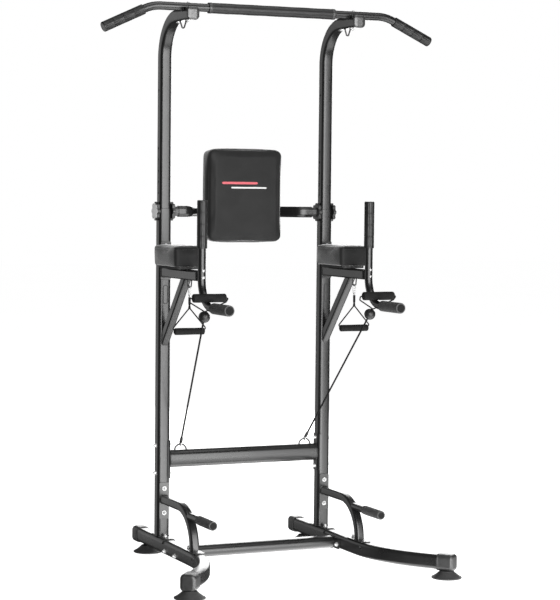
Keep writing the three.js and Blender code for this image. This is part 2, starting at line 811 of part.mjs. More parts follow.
// A lobed clamping knob whose face looks along outward, -1 or +1 along X.
function knob(faceX, outward, bored) {
  const bevel = 3;
  const outline = new THREE.Shape();
  const samples = KNOB.lobes * 4;
  for (let i = 0; i < samples; i++) {
    const turn = (2 * Math.PI * i) / samples;
    const reach = KNOB.radius + KNOB.lobe * Math.cos(KNOB.lobes * turn) - bevel;
    const x = reach * Math.cos(turn);
    const y = reach * Math.sin(turn);
    if (i) outline.lineTo(x, y);
    else outline.moveTo(x, y);
  }
  outline.closePath();
  const disc = new THREE.ExtrudeGeometry(outline, {
    depth: KNOB.thickness - 2 * bevel,
    bevelThickness: bevel,
    bevelSize: bevel,
    bevelSegments: 1,
  })
    .translate(0, 0, bevel - KNOB.thickness / 2)
    .rotateX(Math.PI / 2)
    .rotateZ(Math.PI / 2)
    .translate(faceX - (outward * KNOB.thickness) / 2, 0, KNOB.z);
  const inner = faceX - outward * (KNOB.thickness - 1);
  if (bored) {
    const bore = rod(
      clearing(STUD_RADIUS, 12),
      point(faceX + outward * 5, 0, KNOB.z),
      point(inner - outward * 10, 0, KNOB.z),
    );
    return cut(disc, bore);
  }
  const tip = SIDE_X + outward * (MAST.side / 2 + 2 * GAP);
  return join(disc, rod(STUD_RADIUS, point(inner, 0, KNOB.z), point(tip, 0, KNOB.z)));
}

function outerKnob() {
  const face = SIDE_X + UPRIGHT.side / 2 + GAP + KNOB.thickness;
  return knob(face, 1, false);
}

function innerKnob() {
  const face = SIDE_X - UPRIGHT.side / 2 - GAP - KNOB.thickness;
  return knob(face, -1, true);
}

// ---------------------------------------------------------------- bands

function ballCentre() {
  return point(BALL.x, BALL.y, BALL.z);
}

function bandDirection() {
  return ballCentre().sub(ringTop()).normalize();
}

function alongBand(distance) {
  return ringTop().addScaledVector(bandDirection(), distance);
}

// A stretched elastic tube from the crossbar's ring up to its stopper ball.
function band() {
  const steps = 12;
  const from = alongBand(BAND.start);
  const to = ballCentre().addScaledVector(bandDirection(), -BALL.radius - GAP);
  const points = [];
  for (let i = 0; i <= steps; i++) points.push(from.clone().lerp(to, i / steps));
  return sweep(circle(BAND.radius, 8), points, bandDirection().cross(Z));
}

// The clip that holds the band's lower end on the wire ring.
function bandClip() {
  const loopCentre = alongBand(BAND_CLIP.rise);
  const loop = new THREE.TorusGeometry(BAND_CLIP.radius, BAND_CLIP.wire, 5, 10)
    .rotateY(Math.PI / 2)
    .translate(loopCentre.x, loopCentre.y, loopCentre.z);
  const stemFrom = alongBand(BAND_CLIP.rise + BAND_CLIP.radius);
  return join(loop, rod(BAND_CLIP.stem, stemFrom, alongBand(BAND.start - GAP), 10));
}

function ball() {
  return new THREE.SphereGeometry(BALL.radius, 12, 8).rotateX(Math.PI / 2).translate(BALL.x, BALL.y, BALL.z);
}

// The cord from one end of the band's handle, down over the ball's top, to the handle's other end.
function bridle() {
  const handle = point(BAND_HANDLE.x, BAND_HANDLE.y, BAND_HANDLE.z);
  const up = handle.clone().sub(ballCentre()).setX(0).normalize();
  const apex = ballCentre().setX(BAND_HANDLE.x).addScaledVector(up, BALL.radius + 4);
  const reach = BAND_HANDLE.halfLength;
  const leg = (side) => [
    handle.clone().addScaledVector(X, side * (reach + 1)),
    handle.clone().addScaledVector(X, side * (reach + 11)).addScaledVector(up, -2),
    handle.clone().addScaledVector(X, side * (reach + 9)).addScaledVector(up, -18),
  ];
  return sweep(
    circle(BRIDLE_RADIUS, WIRE_SIDES),
    rounded([...leg(-1), apex, ...leg(1).reverse()], 4, 2),
    X.clone().cross(up),
  );
}

function bandHandle() {
  return foamHandle(BAND_HANDLE.radius, BAND_HANDLE.halfLength, point(BAND_HANDLE.x, BAND_HANDLE.y, BAND_HANDLE.z));
}

function foamHandle(radius, halfLength, at) {
  return turned(
    [
      [0, -halfLength],
      [radius - 3, -halfLength],
      [radius, -halfLength + 3],
      [radius, halfLength - 3],
      [radius - 3, halfLength],
      [0, halfLength],
    ],
    at,
    X,
  );
}

// ---------------------------------------------------------------- swinging handles

// The height of the carabiner's middle when its top rests on the eye's wire.
function carabinerZ() {
  const top = EYE.z - EYE.radius + EYE.wire + CARABINER.wire + 2 * GAP;
  return top - CARABINER.radius - CARABINER.stretch;
}

function carabiner() {
  const ring = new THREE.TorusGeometry(CARABINER.radius, CARABINER.wire, 5, 12).rotateY(Math.PI / 2);
  const position = ring.attributes.position;
  for (let i = 0; i < position.count; i++) {
    const z = position.getZ(i);
    if (Math.abs(z) > 1e-3) position.setZ(i, z + Math.sign(z) * CARABINER.stretch);
  }
  return ring.translate(SIDE_X, EYE.y, carabinerZ());
}

// A webbing strap that splits into two cords, one to each end of the handle.
function swingStrap() {
  const top = carabinerZ() - CARABINER.radius - CARABINER.stretch - CARABINER.wire - GAP;
  const webbing = block(
    [SIDE_X - STRAP.width / 2, EYE.y - STRAP.thickness / 2, STRAP.apex - 2],
    [SIDE_X + STRAP.width / 2, EYE.y + STRAP.thickness / 2, top],
  );
  const reach = SWING_HANDLE.halfLength + 1;
  const cords = sweep(
    circle(BRIDLE_RADIUS, WIRE_SIDES),
    rounded(
      [
        point(SIDE_X - reach, EYE.y, SWING_HANDLE.z),
        point(SIDE_X - reach - 3, EYE.y, SWING_HANDLE.z + 12),
        point(SIDE_X, EYE.y, STRAP.apex),
        point(SIDE_X + reach + 3, EYE.y, SWING_HANDLE.z + 12),
        point(SIDE_X + reach, EYE.y, SWING_HANDLE.z),
      ],
      4,
      3,
    ),
    Y,
  );
  return join(webbing, cords);
}

function swingHandle() {
  return foamHandle(
    SWING_HANDLE.radius,
    SWING_HANDLE.halfLength - BRIDLE_RADIUS,
    point(SIDE_X, EYE.y, SWING_HANDLE.z),
  );
}

// ---------------------------------------------------------------- assembly

const machine = new THREE.Group();

function add(name, geometry, finish) {
  const mesh = new THREE.Mesh(geometry, finish);
  mesh.name = name;
  machine.add(mesh);
  return mesh;
}

// The right-hand piece as modelled, and its mirror image on the left.
function addPair(name, geometry, finish) {
  add(name + "_right", geometry, finish);
  add(name + "_left", geometry, finish).scale.x = -1;
}

const toe = railToe();
const toeFace = toe.clone().addScaledVector(railToeDirection(), CAP.end + GAP);
const toeFoot = toeFace.clone().addScaledVector(railToeDirection(), -FRONT_FOOT_SETBACK);

add("base_crossbar", baseCrossbar(), steel);
addPair("base_rail", baseRail(), steel);
addPair("front_rail_cap", railCap(FRONT_CAP_LENGTH, toeFace, railToeDirection()), plastic);
addPair("rear_rail_cap", railCap(REAR_CAP_LENGTH, point(SIDE_X, RAIL_REAR_Y, RAIL_Z), Y), softCap);
addPair("front_foot", foot(toeFoot.x, toeFoot.y), rubber);
addPair("rear_foot", foot(SIDE_X, REAR_FOOT_Y), rubber);

addPair("lower_upright", lowerUpright(), steel);
add("lower_crossbar", lowerCrossbar(), steel);
addPair("pushup_brace", pushUpBrace(), steel);
addPair("pushup_grip", pushUpGrip(), foam);

addPair("arm_tube", armTube(), steel);
addPair("arm_brace", armBrace(), steel);
addPair("arm_pad", armPad(), vinyl);
addPair("dip_tube", dipTube(), steel);
addPair("upright_grip", uprightGrip(), foam);
addPair("dip_grip", dipGrip(), foam);

addPair("upper_upright", upperUpright(), steel);
addPair("top_cap", topCap(), softCap);
add("pull_up_bar", pullUpBar(), steel);
add("centre_grip", centreGrip(), foam);
addPair("end_grip", endGrip(), foam);

add("backrest_bar", backrestBar(), steel);
add("back_pad", backPad(), vinyl);
addPair("outer_knob", outerKnob(), plastic);
addPair("inner_knob", innerKnob(), plastic);

addPair("band", band(), cordage);
addPair("band_clip", bandClip(), silver);
addPair("band_ball", ball(), rubber);
addPair("band_bridle", bridle(), cordage);
addPair("band_handle", bandHandle(), foam);

addPair("carabiner", carabiner(), silver);
addPair("swing_strap", swingStrap(), cordage);
addPair("swing_handle", swingHandle(), foam);

const footprint = new THREE.Box3().setFromObject(machine).getCenter(new THREE.Vector3());
machine.position.y = -footprint.y;

const tower = new THREE.Group();
tower.add(machine);

export default tower;
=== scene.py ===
"""A power tower: its looks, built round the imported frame. Metres, +Z up, front towards -Y."""

import math

import bmesh
import bpy
from mathutils import Matrix, Vector
from mathutils.bvhtree import BVHTree


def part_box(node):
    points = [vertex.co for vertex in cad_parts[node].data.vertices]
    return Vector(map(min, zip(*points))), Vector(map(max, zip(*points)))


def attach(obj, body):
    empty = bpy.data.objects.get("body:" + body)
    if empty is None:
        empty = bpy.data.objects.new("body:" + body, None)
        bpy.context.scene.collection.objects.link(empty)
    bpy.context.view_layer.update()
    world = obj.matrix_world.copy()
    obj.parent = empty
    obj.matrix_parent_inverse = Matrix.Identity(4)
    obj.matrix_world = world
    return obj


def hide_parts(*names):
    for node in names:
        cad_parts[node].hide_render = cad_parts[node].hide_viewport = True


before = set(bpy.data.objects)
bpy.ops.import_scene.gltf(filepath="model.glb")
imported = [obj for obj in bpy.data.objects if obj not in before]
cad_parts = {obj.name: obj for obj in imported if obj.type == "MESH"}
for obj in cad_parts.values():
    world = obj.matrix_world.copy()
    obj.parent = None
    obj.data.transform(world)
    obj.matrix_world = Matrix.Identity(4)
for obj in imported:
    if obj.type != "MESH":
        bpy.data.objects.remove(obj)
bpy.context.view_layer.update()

X, Y, Z = Vector((1, 0, 0)), Vector((0, 1, 0)), Vector((0, 0, 1))

# ---- places and sizes from the frame

MAST_SIDE = 0.046
mast_low, mast_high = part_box("upper_upright_right")
SIDE_X = (mast_low.x + mast_high.x) / 2
AXIS_Y = mast_high.y - MAST_SIDE / 2  # the uprights' axes; at() measures from there


def at(x, y, z):
    """A point in the frame, from distances about the floor point midway between the uprights' axes."""
    return Vector((x, y + AXIS_Y, z))


UPRIGHT_SIDE = 0.050
UPRIGHT_CORNER = 0.012
RAIL_WIDTH, RAIL_CORNER = 0.050, 0.014
RAIL_LOW, RAIL_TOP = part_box("base_rail_right")[0].z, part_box("base_rail_right")[1].z
RAIL_Z = (RAIL_LOW + RAIL_TOP) / 2
GAP = 0.0003
CLASP_DEPTH = 0.012

# ---- outlines and routes


def arc(centre_x, centre_y, radius, start, end, steps):
    """Points of an arc between two angles in degrees."""
    angles = [math.radians(start + (end - start) * i / steps) for i in range(steps + 1)]
    return [(centre_x + radius * math.cos(a), centre_y + radius * math.sin(a)) for a in angles]


def rounded_rect(width, height, corner, steps=6):
    x, y = width / 2 - corner, height / 2 - corner
    outline = []
    for i, (sx, sy) in enumerate(((1, 1), (-1, 1), (-1, -1), (1, -1))):
        outline += arc(sx * x, sy * y, corner, 90 * i, 90 * i + 90, steps)
    return outline


def circle(radius, steps=36):
    return arc(0, 0, radius, 0, 360, steps)[:-1]


def turn_angles(count):
    """Angles evenly round a full turn."""
    return [2 * math.pi * i / count for i in range(count)]


def rolled(width, height, corner, crown=0.0012):
    """A rolled tube's outline: rounded corners, and walls that bow out a little between them."""
    plain, outline = rounded_rect(width, height, corner, 8), []
    for i, (ax, ay) in enumerate(plain):
        bx, by = plain[(i + 1) % len(plain)]
        cuts = 8 if math.hypot(bx - ax, by - ay) > corner / 2 else 1
        for k in range(cuts):
            x, y = ax + (bx - ax) * k / cuts, ay + (by - ay) * k / cuts
            u, v = 2 * x / width, 2 * y / height
            outline.append((x - crown * u * v * v, y - crown * v * u * u))
    return outline


def clasp(width, height, corner, wall, start, end, place):
    """A bent plate with eased edges that wraps a rounded tube from start to end, open on one side.

    place(u, v, along) says where its points go: u and v lie across the tube.
    """
    legs_end = height / 2 - CLASP_DEPTH

    def arch(extra):
        x, y, r = width / 2 + extra, height / 2 + extra, corner + extra
        over = arc(x - r, y - r, r, 0, 90, 6) + arc(r - x, y - r, r, 90, 180, 6)
        return [(x, legs_end), *over, (-x, legs_end)]

    outline = arch(wall) + arch(GAP)[::-1]
    eased = inset(outline, 0.0006)
    step = math.copysign(0.0008, end - start)
    stations = ((start, eased), (start + step, outline), (end - step, outline), (end, eased))
    return loft([[place(u, v, along) for u, v in section] for along, section in stations])


def inset(outline, depth):
    """The outline moved inwards."""
    result = []
    for i, (x, y) in enumerate(outline):
        (ax, ay), (bx, by) = outline[i - 1], outline[(i + 1) % len(outline)]
        length = math.hypot(bx - ax, by - ay) or 1.0
        result.append((x - depth * (by - ay) / length, y + depth * (bx - ax) / length))
    return result


def bent(corners, radius, steps=12):
    """A route through corners, each one rounded."""
    route = [corners[0]]
    for before, corner, after in zip(corners, corners[1:], corners[2:]):
        back, ahead = (before - corner).normalized(), (after - corner).normalized()
        half = back.angle(ahead) / 2
        centre = corner + (back + ahead).normalized() * (radius / math.sin(half))
        start = corner + back * (radius / math.tan(half)) - centre
        end = corner + ahead * (radius / math.tan(half)) - centre
        axis, turn = start.cross(end).normalized(), start.angle(end)
        route += [centre + Matrix.Rotation(turn * i / steps, 3, axis) @ start for i in range(steps + 1)]
    return [*route, corners[-1]]


def straight(start, end, steps):
    return [start.lerp(end, i / steps) for i in range(steps + 1)]


# ---- shapes: (vertices, faces)


def merged(*shapes):
    vertices, faces = [], []
    for more_vertices, more_faces in shapes:
        first = len(vertices)
        vertices += more_vertices
        faces += [tuple(first + i for i in face) for face in more_faces]
    return vertices, faces


def mirrored(shape):
    vertices, faces = shape
    return [Vector((-v.x, v.y, v.z)) for v in vertices], [face[::-1] for face in faces]


def both_sides(shape):
    return merged(shape, mirrored(shape))


def loft(rings, closed=False):
    """Skins rings of points, and caps the ends unless the last ring joins the first."""
    size, count = len(rings[0]), len(rings)
    faces = []
    for i in range(count if closed else count - 1):
        a, b = i * size, (i + 1) % count * size
        for j in range(size):
            k = (j + 1) % size
            faces.append((a + j, a + k, b + k, b + j))
    if not closed:
        faces.append(tuple(range(size))[::-1])
        faces.append(tuple(range(size * (count - 1), size * count)))
    return [v for ring in rings for v in ring], faces


def sweep(outline, route, across, bevel=0.0):
    """A tube along a route that lies in one plane; across is the plane's normal. Its end edges are eased."""
    last = len(route) - 1
    tangents = [(route[min(i + 1, last)] - route[max(i - 1, 0)]).normalized() for i in range(last + 1)]

    def ring(point, tangent, section):
        side = across.cross(tangent).normalized()
        return [point + side * u + across * v for u, v in section]

    rings = [ring(point, tangent, outline) for point, tangent in zip(route, tangents)]
    if bevel:
        small = inset(outline, bevel)
        rings[0] = ring(route[0] + tangents[0] * bevel, tangents[0], outline)
        rings[-1] = ring(route[-1] - tangents[-1] * bevel, tangents[-1], outline)
        rings.insert(0, ring(route[0], tangents[0], small))
        rings.append(ring(route[-1], tangents[-1], small))
    return loft(rings)


def strut(outline, low, high, across, low_normal, high_normal):
    """A straight tube whose two ends are cut along planes through low and high."""
    axis = (high - low).normalized()
    side = across.cross(axis)
    rings = []
    for point, normal in ((low, low_normal), (high, high_normal)):
        ring = [point + side * u + across * v for u, v in outline]
        rings.append([p - axis * ((p - point).dot(normal) / axis.dot(normal)) for p in ring])
    return loft(rings)


def turned(profile, base, along=Z, sides=48, ripple=None):
    """A turned shape from (radius, height) pairs. ripple(angle, height) is added to each radius."""
    turn = Z.rotation_difference(along).to_matrix()
    vertices, rings, faces = [], [], []
    for radius, height in profile:
        first = len(vertices)
        count = sides if radius else 1
        for i in range(count):
            angle = 2 * math.pi * i / sides
            reach = radius + (ripple(angle, height) if ripple and radius else 0)
            local = Vector((reach * math.cos(angle), reach * math.sin(angle), height))
            vertices.append(base + turn @ local)
        rings.append(range(first, first + count))
    for a, b in zip(rings, rings[1:]):
        for j in range(sides):
            k = (j + 1) % sides
            corners = (a[j % len(a)], a[k % len(a)], b[k % len(b)], b[j % len(b)])
            face = tuple(dict.fromkeys(corners))
            if len(face) > 2:
                faces.append(face)
    return vertices, faces


def plate(outline, thickness, origin, across, up, bevel=0.0008):
    """A plate with eased edges. Its outline lies along across and up, and it grows along across x up."""
    out = across.cross(up)
    small = inset(outline, bevel)
    stations = ((small, 0), (outline, bevel), (outline, thickness - bevel), (small, thickness))
    return loft([[origin + across * x + up * y + out * depth for x, y in section]
                 for section, depth in stations])


def box(low, high):
    width, depth = high.x - low.x, high.y - low.y
    middle = Vector(((low.x + high.x) / 2, (low.y + high.y) / 2, low.z))
    outline = rounded_rect(width, depth, min(width, depth) / 6, 3)
    return plate(outline, high.z - low.z, middle, X, Y, 0.001)


def loop_tube(points, radius, sides=10):
    """A thin tube round a closed loop of points."""
    rings = []
    count = len(points)
    for i, point in enumerate(points):
        tangent = (points[(i + 1) % count] - points[i - 1]).normalized()
        side = tangent.orthogonal() if i == 0 else (side - tangent * side.dot(tangent))
        side.normalize()
        up = tangent.cross(side)
        rings.append([point + side * u + up * v for u, v in circle(radius, sides)])
    return loft(rings, closed=True)


def weld(outline, origin, across, up, radius=0.0022):
    """A weld bead that follows an outline, a little uneven as a real one is."""
    dense = []
    for i, (ax, ay) in enumerate(outline):
        bx, by = outline[(i + 1) % len(outline)]
        cuts = max(1, round(math.hypot(bx - ax, by - ay) / 0.002))
        dense += [(ax + (bx - ax) * k / cuts, ay + (by - ay) * k / cuts) for k in range(cuts)]
    out = across.cross(up)
    points = []
    for i, (x, y) in enumerate(dense):
        wave = 0.0004 * math.sin(i * 2.1) + 0.0002 * math.sin(i * 0.7)
        points.append(origin + across * x + up * y + out * wave)
    return loop_tube(points, radius, 8)


def bolt(seat, along, radius=0.009, hexagonal=True):
    """A washer under a domed head, or under a hexagon with a domed end of thread."""

    def dome(reach, base, rise):
        arch = [(reach * math.cos(a), base + rise * math.sin(a)) for a in (0, 0.4, 0.8, 1.2)]
        return turned([(0, base), *arch, (0, base + rise)], seat, along, 24)

    thick = 0.0016
    washer = turned([(0, 0), (radius, 0), (radius, 0.0012), (radius * 0.96, thick), (0, thick)], seat, along)
    if not hexagonal:
        return merged(washer, dome(radius * 0.8, thick, radius * 0.5))
    corner = radius * 0.74
    nut = [(0, 0.001), (corner, 0.001), (corner, 0.0052), (corner * 0.88, 0.006), (0, 0.006)]
    return merged(washer, turned(nut, seat, along, 6), dome(corner * 0.78, 0.0058, 0.005))


# ---- finishes


class Finish:
    """A procedural Principled material, built up by the functions below."""

    def __init__(self, name, roughness, metallic=0.0, **sockets):
        self.material = bpy.data.materials.new(name)
        self.material.use_nodes = True
        self.tree = self.material.node_tree
        self.shader = self.tree.nodes["Principled BSDF"]
        self.shader.inputs["Roughness"].default_value = roughness
        self.shader.inputs["Metallic"].default_value = metallic
        for socket, value in sockets.items():
            self.shader.inputs[socket.replace("_", " ")].default_value = value
        self.place = self.tree.nodes.new("ShaderNodeTexCoord").outputs["Object"]

    def node(self, kind, inputs=(), **settings):
        new = self.tree.nodes.new(kind)
        for key, value in settings.items():
            setattr(new, key, value)
        for key, value in dict(inputs).items():
            if isinstance(value, bpy.types.NodeSocket):
                self.tree.links.new(value, new.inputs[key])
            else:
                new.inputs[key].default_value = value
        return new

    def noise(self, scale, detail):
        inputs = {"Vector": self.place, "Scale": scale, "Detail": detail}
        return self.node("ShaderNodeTexNoise", inputs).outputs["Fac"]

    def cells(self, scale, feature="F1"):
        inputs = {"Vector": self.place, "Scale": scale}
        return self.node("ShaderNodeTexVoronoi", inputs, feature=feature).outputs["Distance"]

    def spread(self, value, low, high, start=0.3, end=0.7):
        """Maps a value from start..end to low..high."""
        inputs = {"Value": value, "From Min": start, "From Max": end, "To Min": low, "To Max": high}
        return self.node("ShaderNodeMapRange", inputs).outputs["Result"]

    def colour(self, value, dark, light, start=0.3, end=0.7):
        ramp = self.node("ShaderNodeValToRGB", {"Fac": value})
        for element, shade, position in zip(ramp.color_ramp.elements, (dark, light), (start, end)):
            element.color = (*shade, 1)
            element.position = position
        self.tree.links.new(ramp.outputs["Color"], self.shader.inputs["Base Color"])

    def rough(self, value):
        self.tree.links.new(value, self.shader.inputs["Roughness"])

    def add(self, a, b, share=1.0):
        scaled = self.node("ShaderNodeMath", {0: b, 1: share}, operation="MULTIPLY").outputs[0]
        return self.node("ShaderNodeMath", {0: a, 1: scaled}, operation="ADD").outputs[0]

    def bump(self, height, strength, distance):
        inputs = {"Height": height, "Strength": strength, "Distance": distance}
        new = self.node("ShaderNodeBump", inputs)
        self.tree.links.new(new.outputs["Normal"], self.shader.inputs["Normal"])


def grey(level):
    return (level, level, level)


def painted_steel():
    """Satin charcoal powder coat: an orange-peel skin with faint cloudiness and handling marks."""
    f = Finish("painted_steel", 0.28, Specular_IOR_Level=0.4)
    clouds = f.noise(9, 3)
    f.colour(clouds, grey(0.004), grey(0.006))
    f.rough(f.spread(f.add(clouds, f.noise(160, 4), 0.5), 0.25, 0.33, 0.5, 1.0))
    f.bump(f.add(f.noise(650, 2), f.noise(2600, 1), 0.35), 0.035, 0.0003)
    return f.material


def moulded(name, level, roughness, shine=0.5):
    """Moulded plastic with a fine spark-eroded grain."""
    f = Finish(name, roughness, Specular_IOR_Level=shine)
    f.colour(f.noise(30, 4), grey(level * 0.88), grey(level * 1.12))
    f.rough(f.spread(f.noise(90, 3), roughness - 0.07, roughness + 0.07))
    f.bump(f.add(f.noise(1500, 2), f.cells(900), 0.4), 0.22, 0.0003)
    return f.material


def foam(name, level, roughness=0.8, shine=0.3, depth=0.35):
    """Closed-cell foam: fine pores over a skin that is more or less glossy."""
    f = Finish(name, roughness, Specular_IOR_Level=shine)
    pores = f.cells(520)
    f.colour(f.add(f.noise(45, 4), pores, 0.5), grey(level * 0.7), grey(level * 1.35), 0.35, 0.9)
    f.rough(f.spread(f.noise(120, 3), roughness - 0.08, roughness + 0.08))
    f.bump(f.add(f.noise(900, 3), pores, -0.8), depth, 0.0006)
    return f.material


def leatherette(name, dark, light):
    """Coated fabric with a pebbled grain, a little glossier on top of each pebble."""
    f = Finish(name, 0.5, Specular_IOR_Level=0.10, Sheen_Weight=0.55, Sheen_Roughness=0.33)
    pebbles = f.cells(430, "DISTANCE_TO_EDGE")
    creases = f.cells(140, "DISTANCE_TO_EDGE")
    f.colour(f.noise(14, 5), grey(dark), grey(light))
    f.rough(f.spread(pebbles, 0.62, 0.44, 0.0, 0.3))
    f.bump(f.add(f.add(pebbles, creases, 0.25), f.noise(300, 3), 0.3), 0.5, 0.0006)
    return f.material


def rubber(name, level, roughness, shine=0.3):
    """Moulded rubber with a dusty bloom."""
    f = Finish(name, roughness, Specular_IOR_Level=shine)
    f.colour(f.noise(24, 5), grey(level * 0.8), grey(level * 1.25))
    f.rough(f.spread(f.noise(60, 4), roughness - 0.1, roughness + 0.08))
    f.bump(f.noise(1100, 3), 0.25, 0.0004)
    return f.material


def bright_steel():
    """Nickel-plated hardware with fine turning marks and dulled patches."""
    f = Finish("bright_steel", 0.3, 0.35)
    f.colour(f.noise(220, 3), grey(0.34), grey(0.44))
    f.rough(f.spread(f.noise(400, 4), 0.22, 0.38))
    f.bump(f.noise(1800, 2), 0.12, 0.0002)
    return f.material


def woven(name, level):
    """Braided cord or webbing: crossing ribs a little over a millimetre apart."""
    f = Finish(name, 0.8, Specular_IOR_Level=0.1)
    inputs = {"Vector": f.place, "Scale": 300, "Distortion": 0.3}
    one = f.node("ShaderNodeTexWave", inputs, bands_direction="DIAGONAL").outputs["Fac"]
    other = f.node("ShaderNodeTexWave", inputs, bands_direction="Z").outputs["Fac"]
    weave = f.add(one, other, 0.8)
    f.colour(weave, grey(level * 0.5), grey(level * 1.6), 0.2, 1.2)
    f.bump(weave, 0.5, 0.0006)
    return f.material


def flat_print(name, colour):
    """Screen-printed ink, slightly worn."""
    f = Finish(name, 0.45)
    f.colour(f.noise(500, 4), tuple(0.75 * c for c in colour), colour)
    f.bump(f.cells(430, "DISTANCE_TO_EDGE"), 0.3, 0.0003)
    return f.material


STEEL = painted_steel()
BLACK_PLASTIC = moulded("black_plastic", 0.010, 0.42)
# A light grey copy of the black plastic for the knobs' outer faces: a painted highlight that stands in for
# the light falling on those faces.
PAINTED_HIGHLIGHT_KNOB_FACE = moulded("knob_face", 0.70, 0.4, shine=0.8)
GREY_PLASTIC = moulded("grey_plastic", 0.02, 0.3, shine=0.6)
GRIP_SKIN = foam("grip_skin", 0.005, 0.42, 0.28, 0.12)
FOAM = foam("foam_handle", 0.005, shine=0.1)
FOAM_END = moulded("grip_end", 0.10, 0.55)
SPECKLED = foam("speckled_grip", 0.03)
LEATHERETTE = leatherette("leatherette", 0.006, 0.009)
FOOT_RUBBER = rubber("foot_rubber", 0.016, 0.62)
BALL_RUBBER = rubber("ball_rubber", 0.008, 0.35)
BAND_RUBBER = rubber("band_rubber", 0.003, 0.6, 0.08)
BRIGHT = bright_steel()
WEBBING = woven("webbing", 0.004)
BOARD = moulded("pad_board", 0.006, 0.8)
RED_INK = flat_print("red_ink", (0.30, 0.017, 0.03))
PALE_INK = flat_print("pale_ink", (0.34, 0.34, 0.34))

# ---- pieces


def as_mesh(name, shape):
    """A smooth-shaded mesh whose hard edges are marked sharp."""
    vertices, faces = shape
    mesh = bpy.data.meshes.new(name)
    mesh.from_pydata([tuple(v) for v in vertices], [], faces)
    work = bmesh.new()
    work.from_mesh(mesh)
    bmesh.ops.remove_doubles(work, verts=work.verts, dist=1e-6)
    bmesh.ops.recalc_face_normals(work, faces=work.faces)
    for face in work.faces:
        face.smooth = True
    for edge in work.edges:
        edge.smooth = len(edge.link_faces) == 2 and edge.calc_face_angle() < math.radians(38)
    work.to_mesh(mesh)
    work.free()
    return mesh


def placed(name, data):
    """A new object in the scene."""
    thing = bpy.data.objects.new(name, data)
    bpy.context.scene.collection.objects.link(thing)
    return thing


def applied(thing):
    """Applies an object's modifiers, and gives its new mesh."""
    graph = bpy.context.evaluated_depsgraph_get()
    mesh = bpy.data.meshes.new_from_object(thing.evaluated_get(graph))
    thing.modifiers.clear()
    thing.data = mesh
    return mesh


def dress(thing, name, finish, body):
    """Gives a piece its finish and body. It stands for the CAD node of its own name, if any."""
    thing.data.materials.append(finish)
    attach(thing, body)
    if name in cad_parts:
        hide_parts(name)


def piece(name, shape, finish, body="base_frame", flat_faces=True):
    """A finished piece that rides on a CAD body."""
    thing = placed(f"{name}_look", as_mesh(f"{name}_look", shape))
    if flat_faces:
        weighted = thing.modifiers.new("normals", "WEIGHTED_NORMAL")
        weighted.keep_sharp = True
    dress(thing, name, finish, body)
    return thing


def pair(name, shape, finish, body="base_frame", flat_faces=True):
    """The right-hand piece and its mirror image. "*" in body stands for the side's name."""
    return [piece(f"{name}_{side}", its_shape, finish, body.replace("*", side), flat_faces)
            for side, its_shape in (("right", shape), ("left", mirrored(shape)))]


def carve(things, cutters):
    """Cuts shapes out of right-hand and left-hand pieces."""
    shape = merged(*cutters)
    for thing, its_shape in zip(things, (shape, mirrored(shape))):
        tool = placed("cutter", as_mesh("cutter", its_shape))
        cut = thing.modifiers.new("cut", "BOOLEAN")
        cut.object, cut.operation, cut.solver = tool, "DIFFERENCE", "EXACT"
        thing.modifiers.move(len(thing.modifiers) - 1, 0)
        applied(thing)
        bpy.data.objects.remove(tool)


# ---- camera and light


def make_camera():
    """Stands where the photograph was taken from: in front, a little to the left, at chest height."""
    yaw, pitch, roll = math.radians(24.04), math.radians(3.12), math.radians(0.59)
    ahead = Vector((math.sin(yaw) * math.cos(pitch), math.cos(yaw) * math.cos(pitch), -math.sin(pitch)))
    right = Vector((math.cos(yaw), -math.sin(yaw), 0))
    above = right.cross(ahead)
    turned_right = right * math.cos(roll) + above * math.sin(roll)
    turned_above = above * math.cos(roll) - right * math.sin(roll)
    data = bpy.data.cameras.new("camera")
    data.lens, data.sensor_width = 117.0, 36.0
    camera = placed("camera", data)
    basis = Matrix((turned_right, turned_above, -ahead)).transposed().to_4x4()
    camera.matrix_world = Matrix.Translation(at(-2.9745, -7.0079, 1.4123)) @ basis
    bpy.context.scene.camera = camera


def soft_box(name, place, width, height, radiance):
    """A lit rectangle that faces the machine's middle."""
    data = bpy.data.lights.new(name, "AREA")
    data.shape, data.size, data.size_y = "RECTANGLE", width, height
    data.energy = radiance * math.pi * width * height
    light = placed(name, data)
    light.location = place
    light.rotation_euler = (Vector((0, 0, 1.1)) - place).to_track_quat("-Z", "Y").to_euler()
    light.visible_camera = False


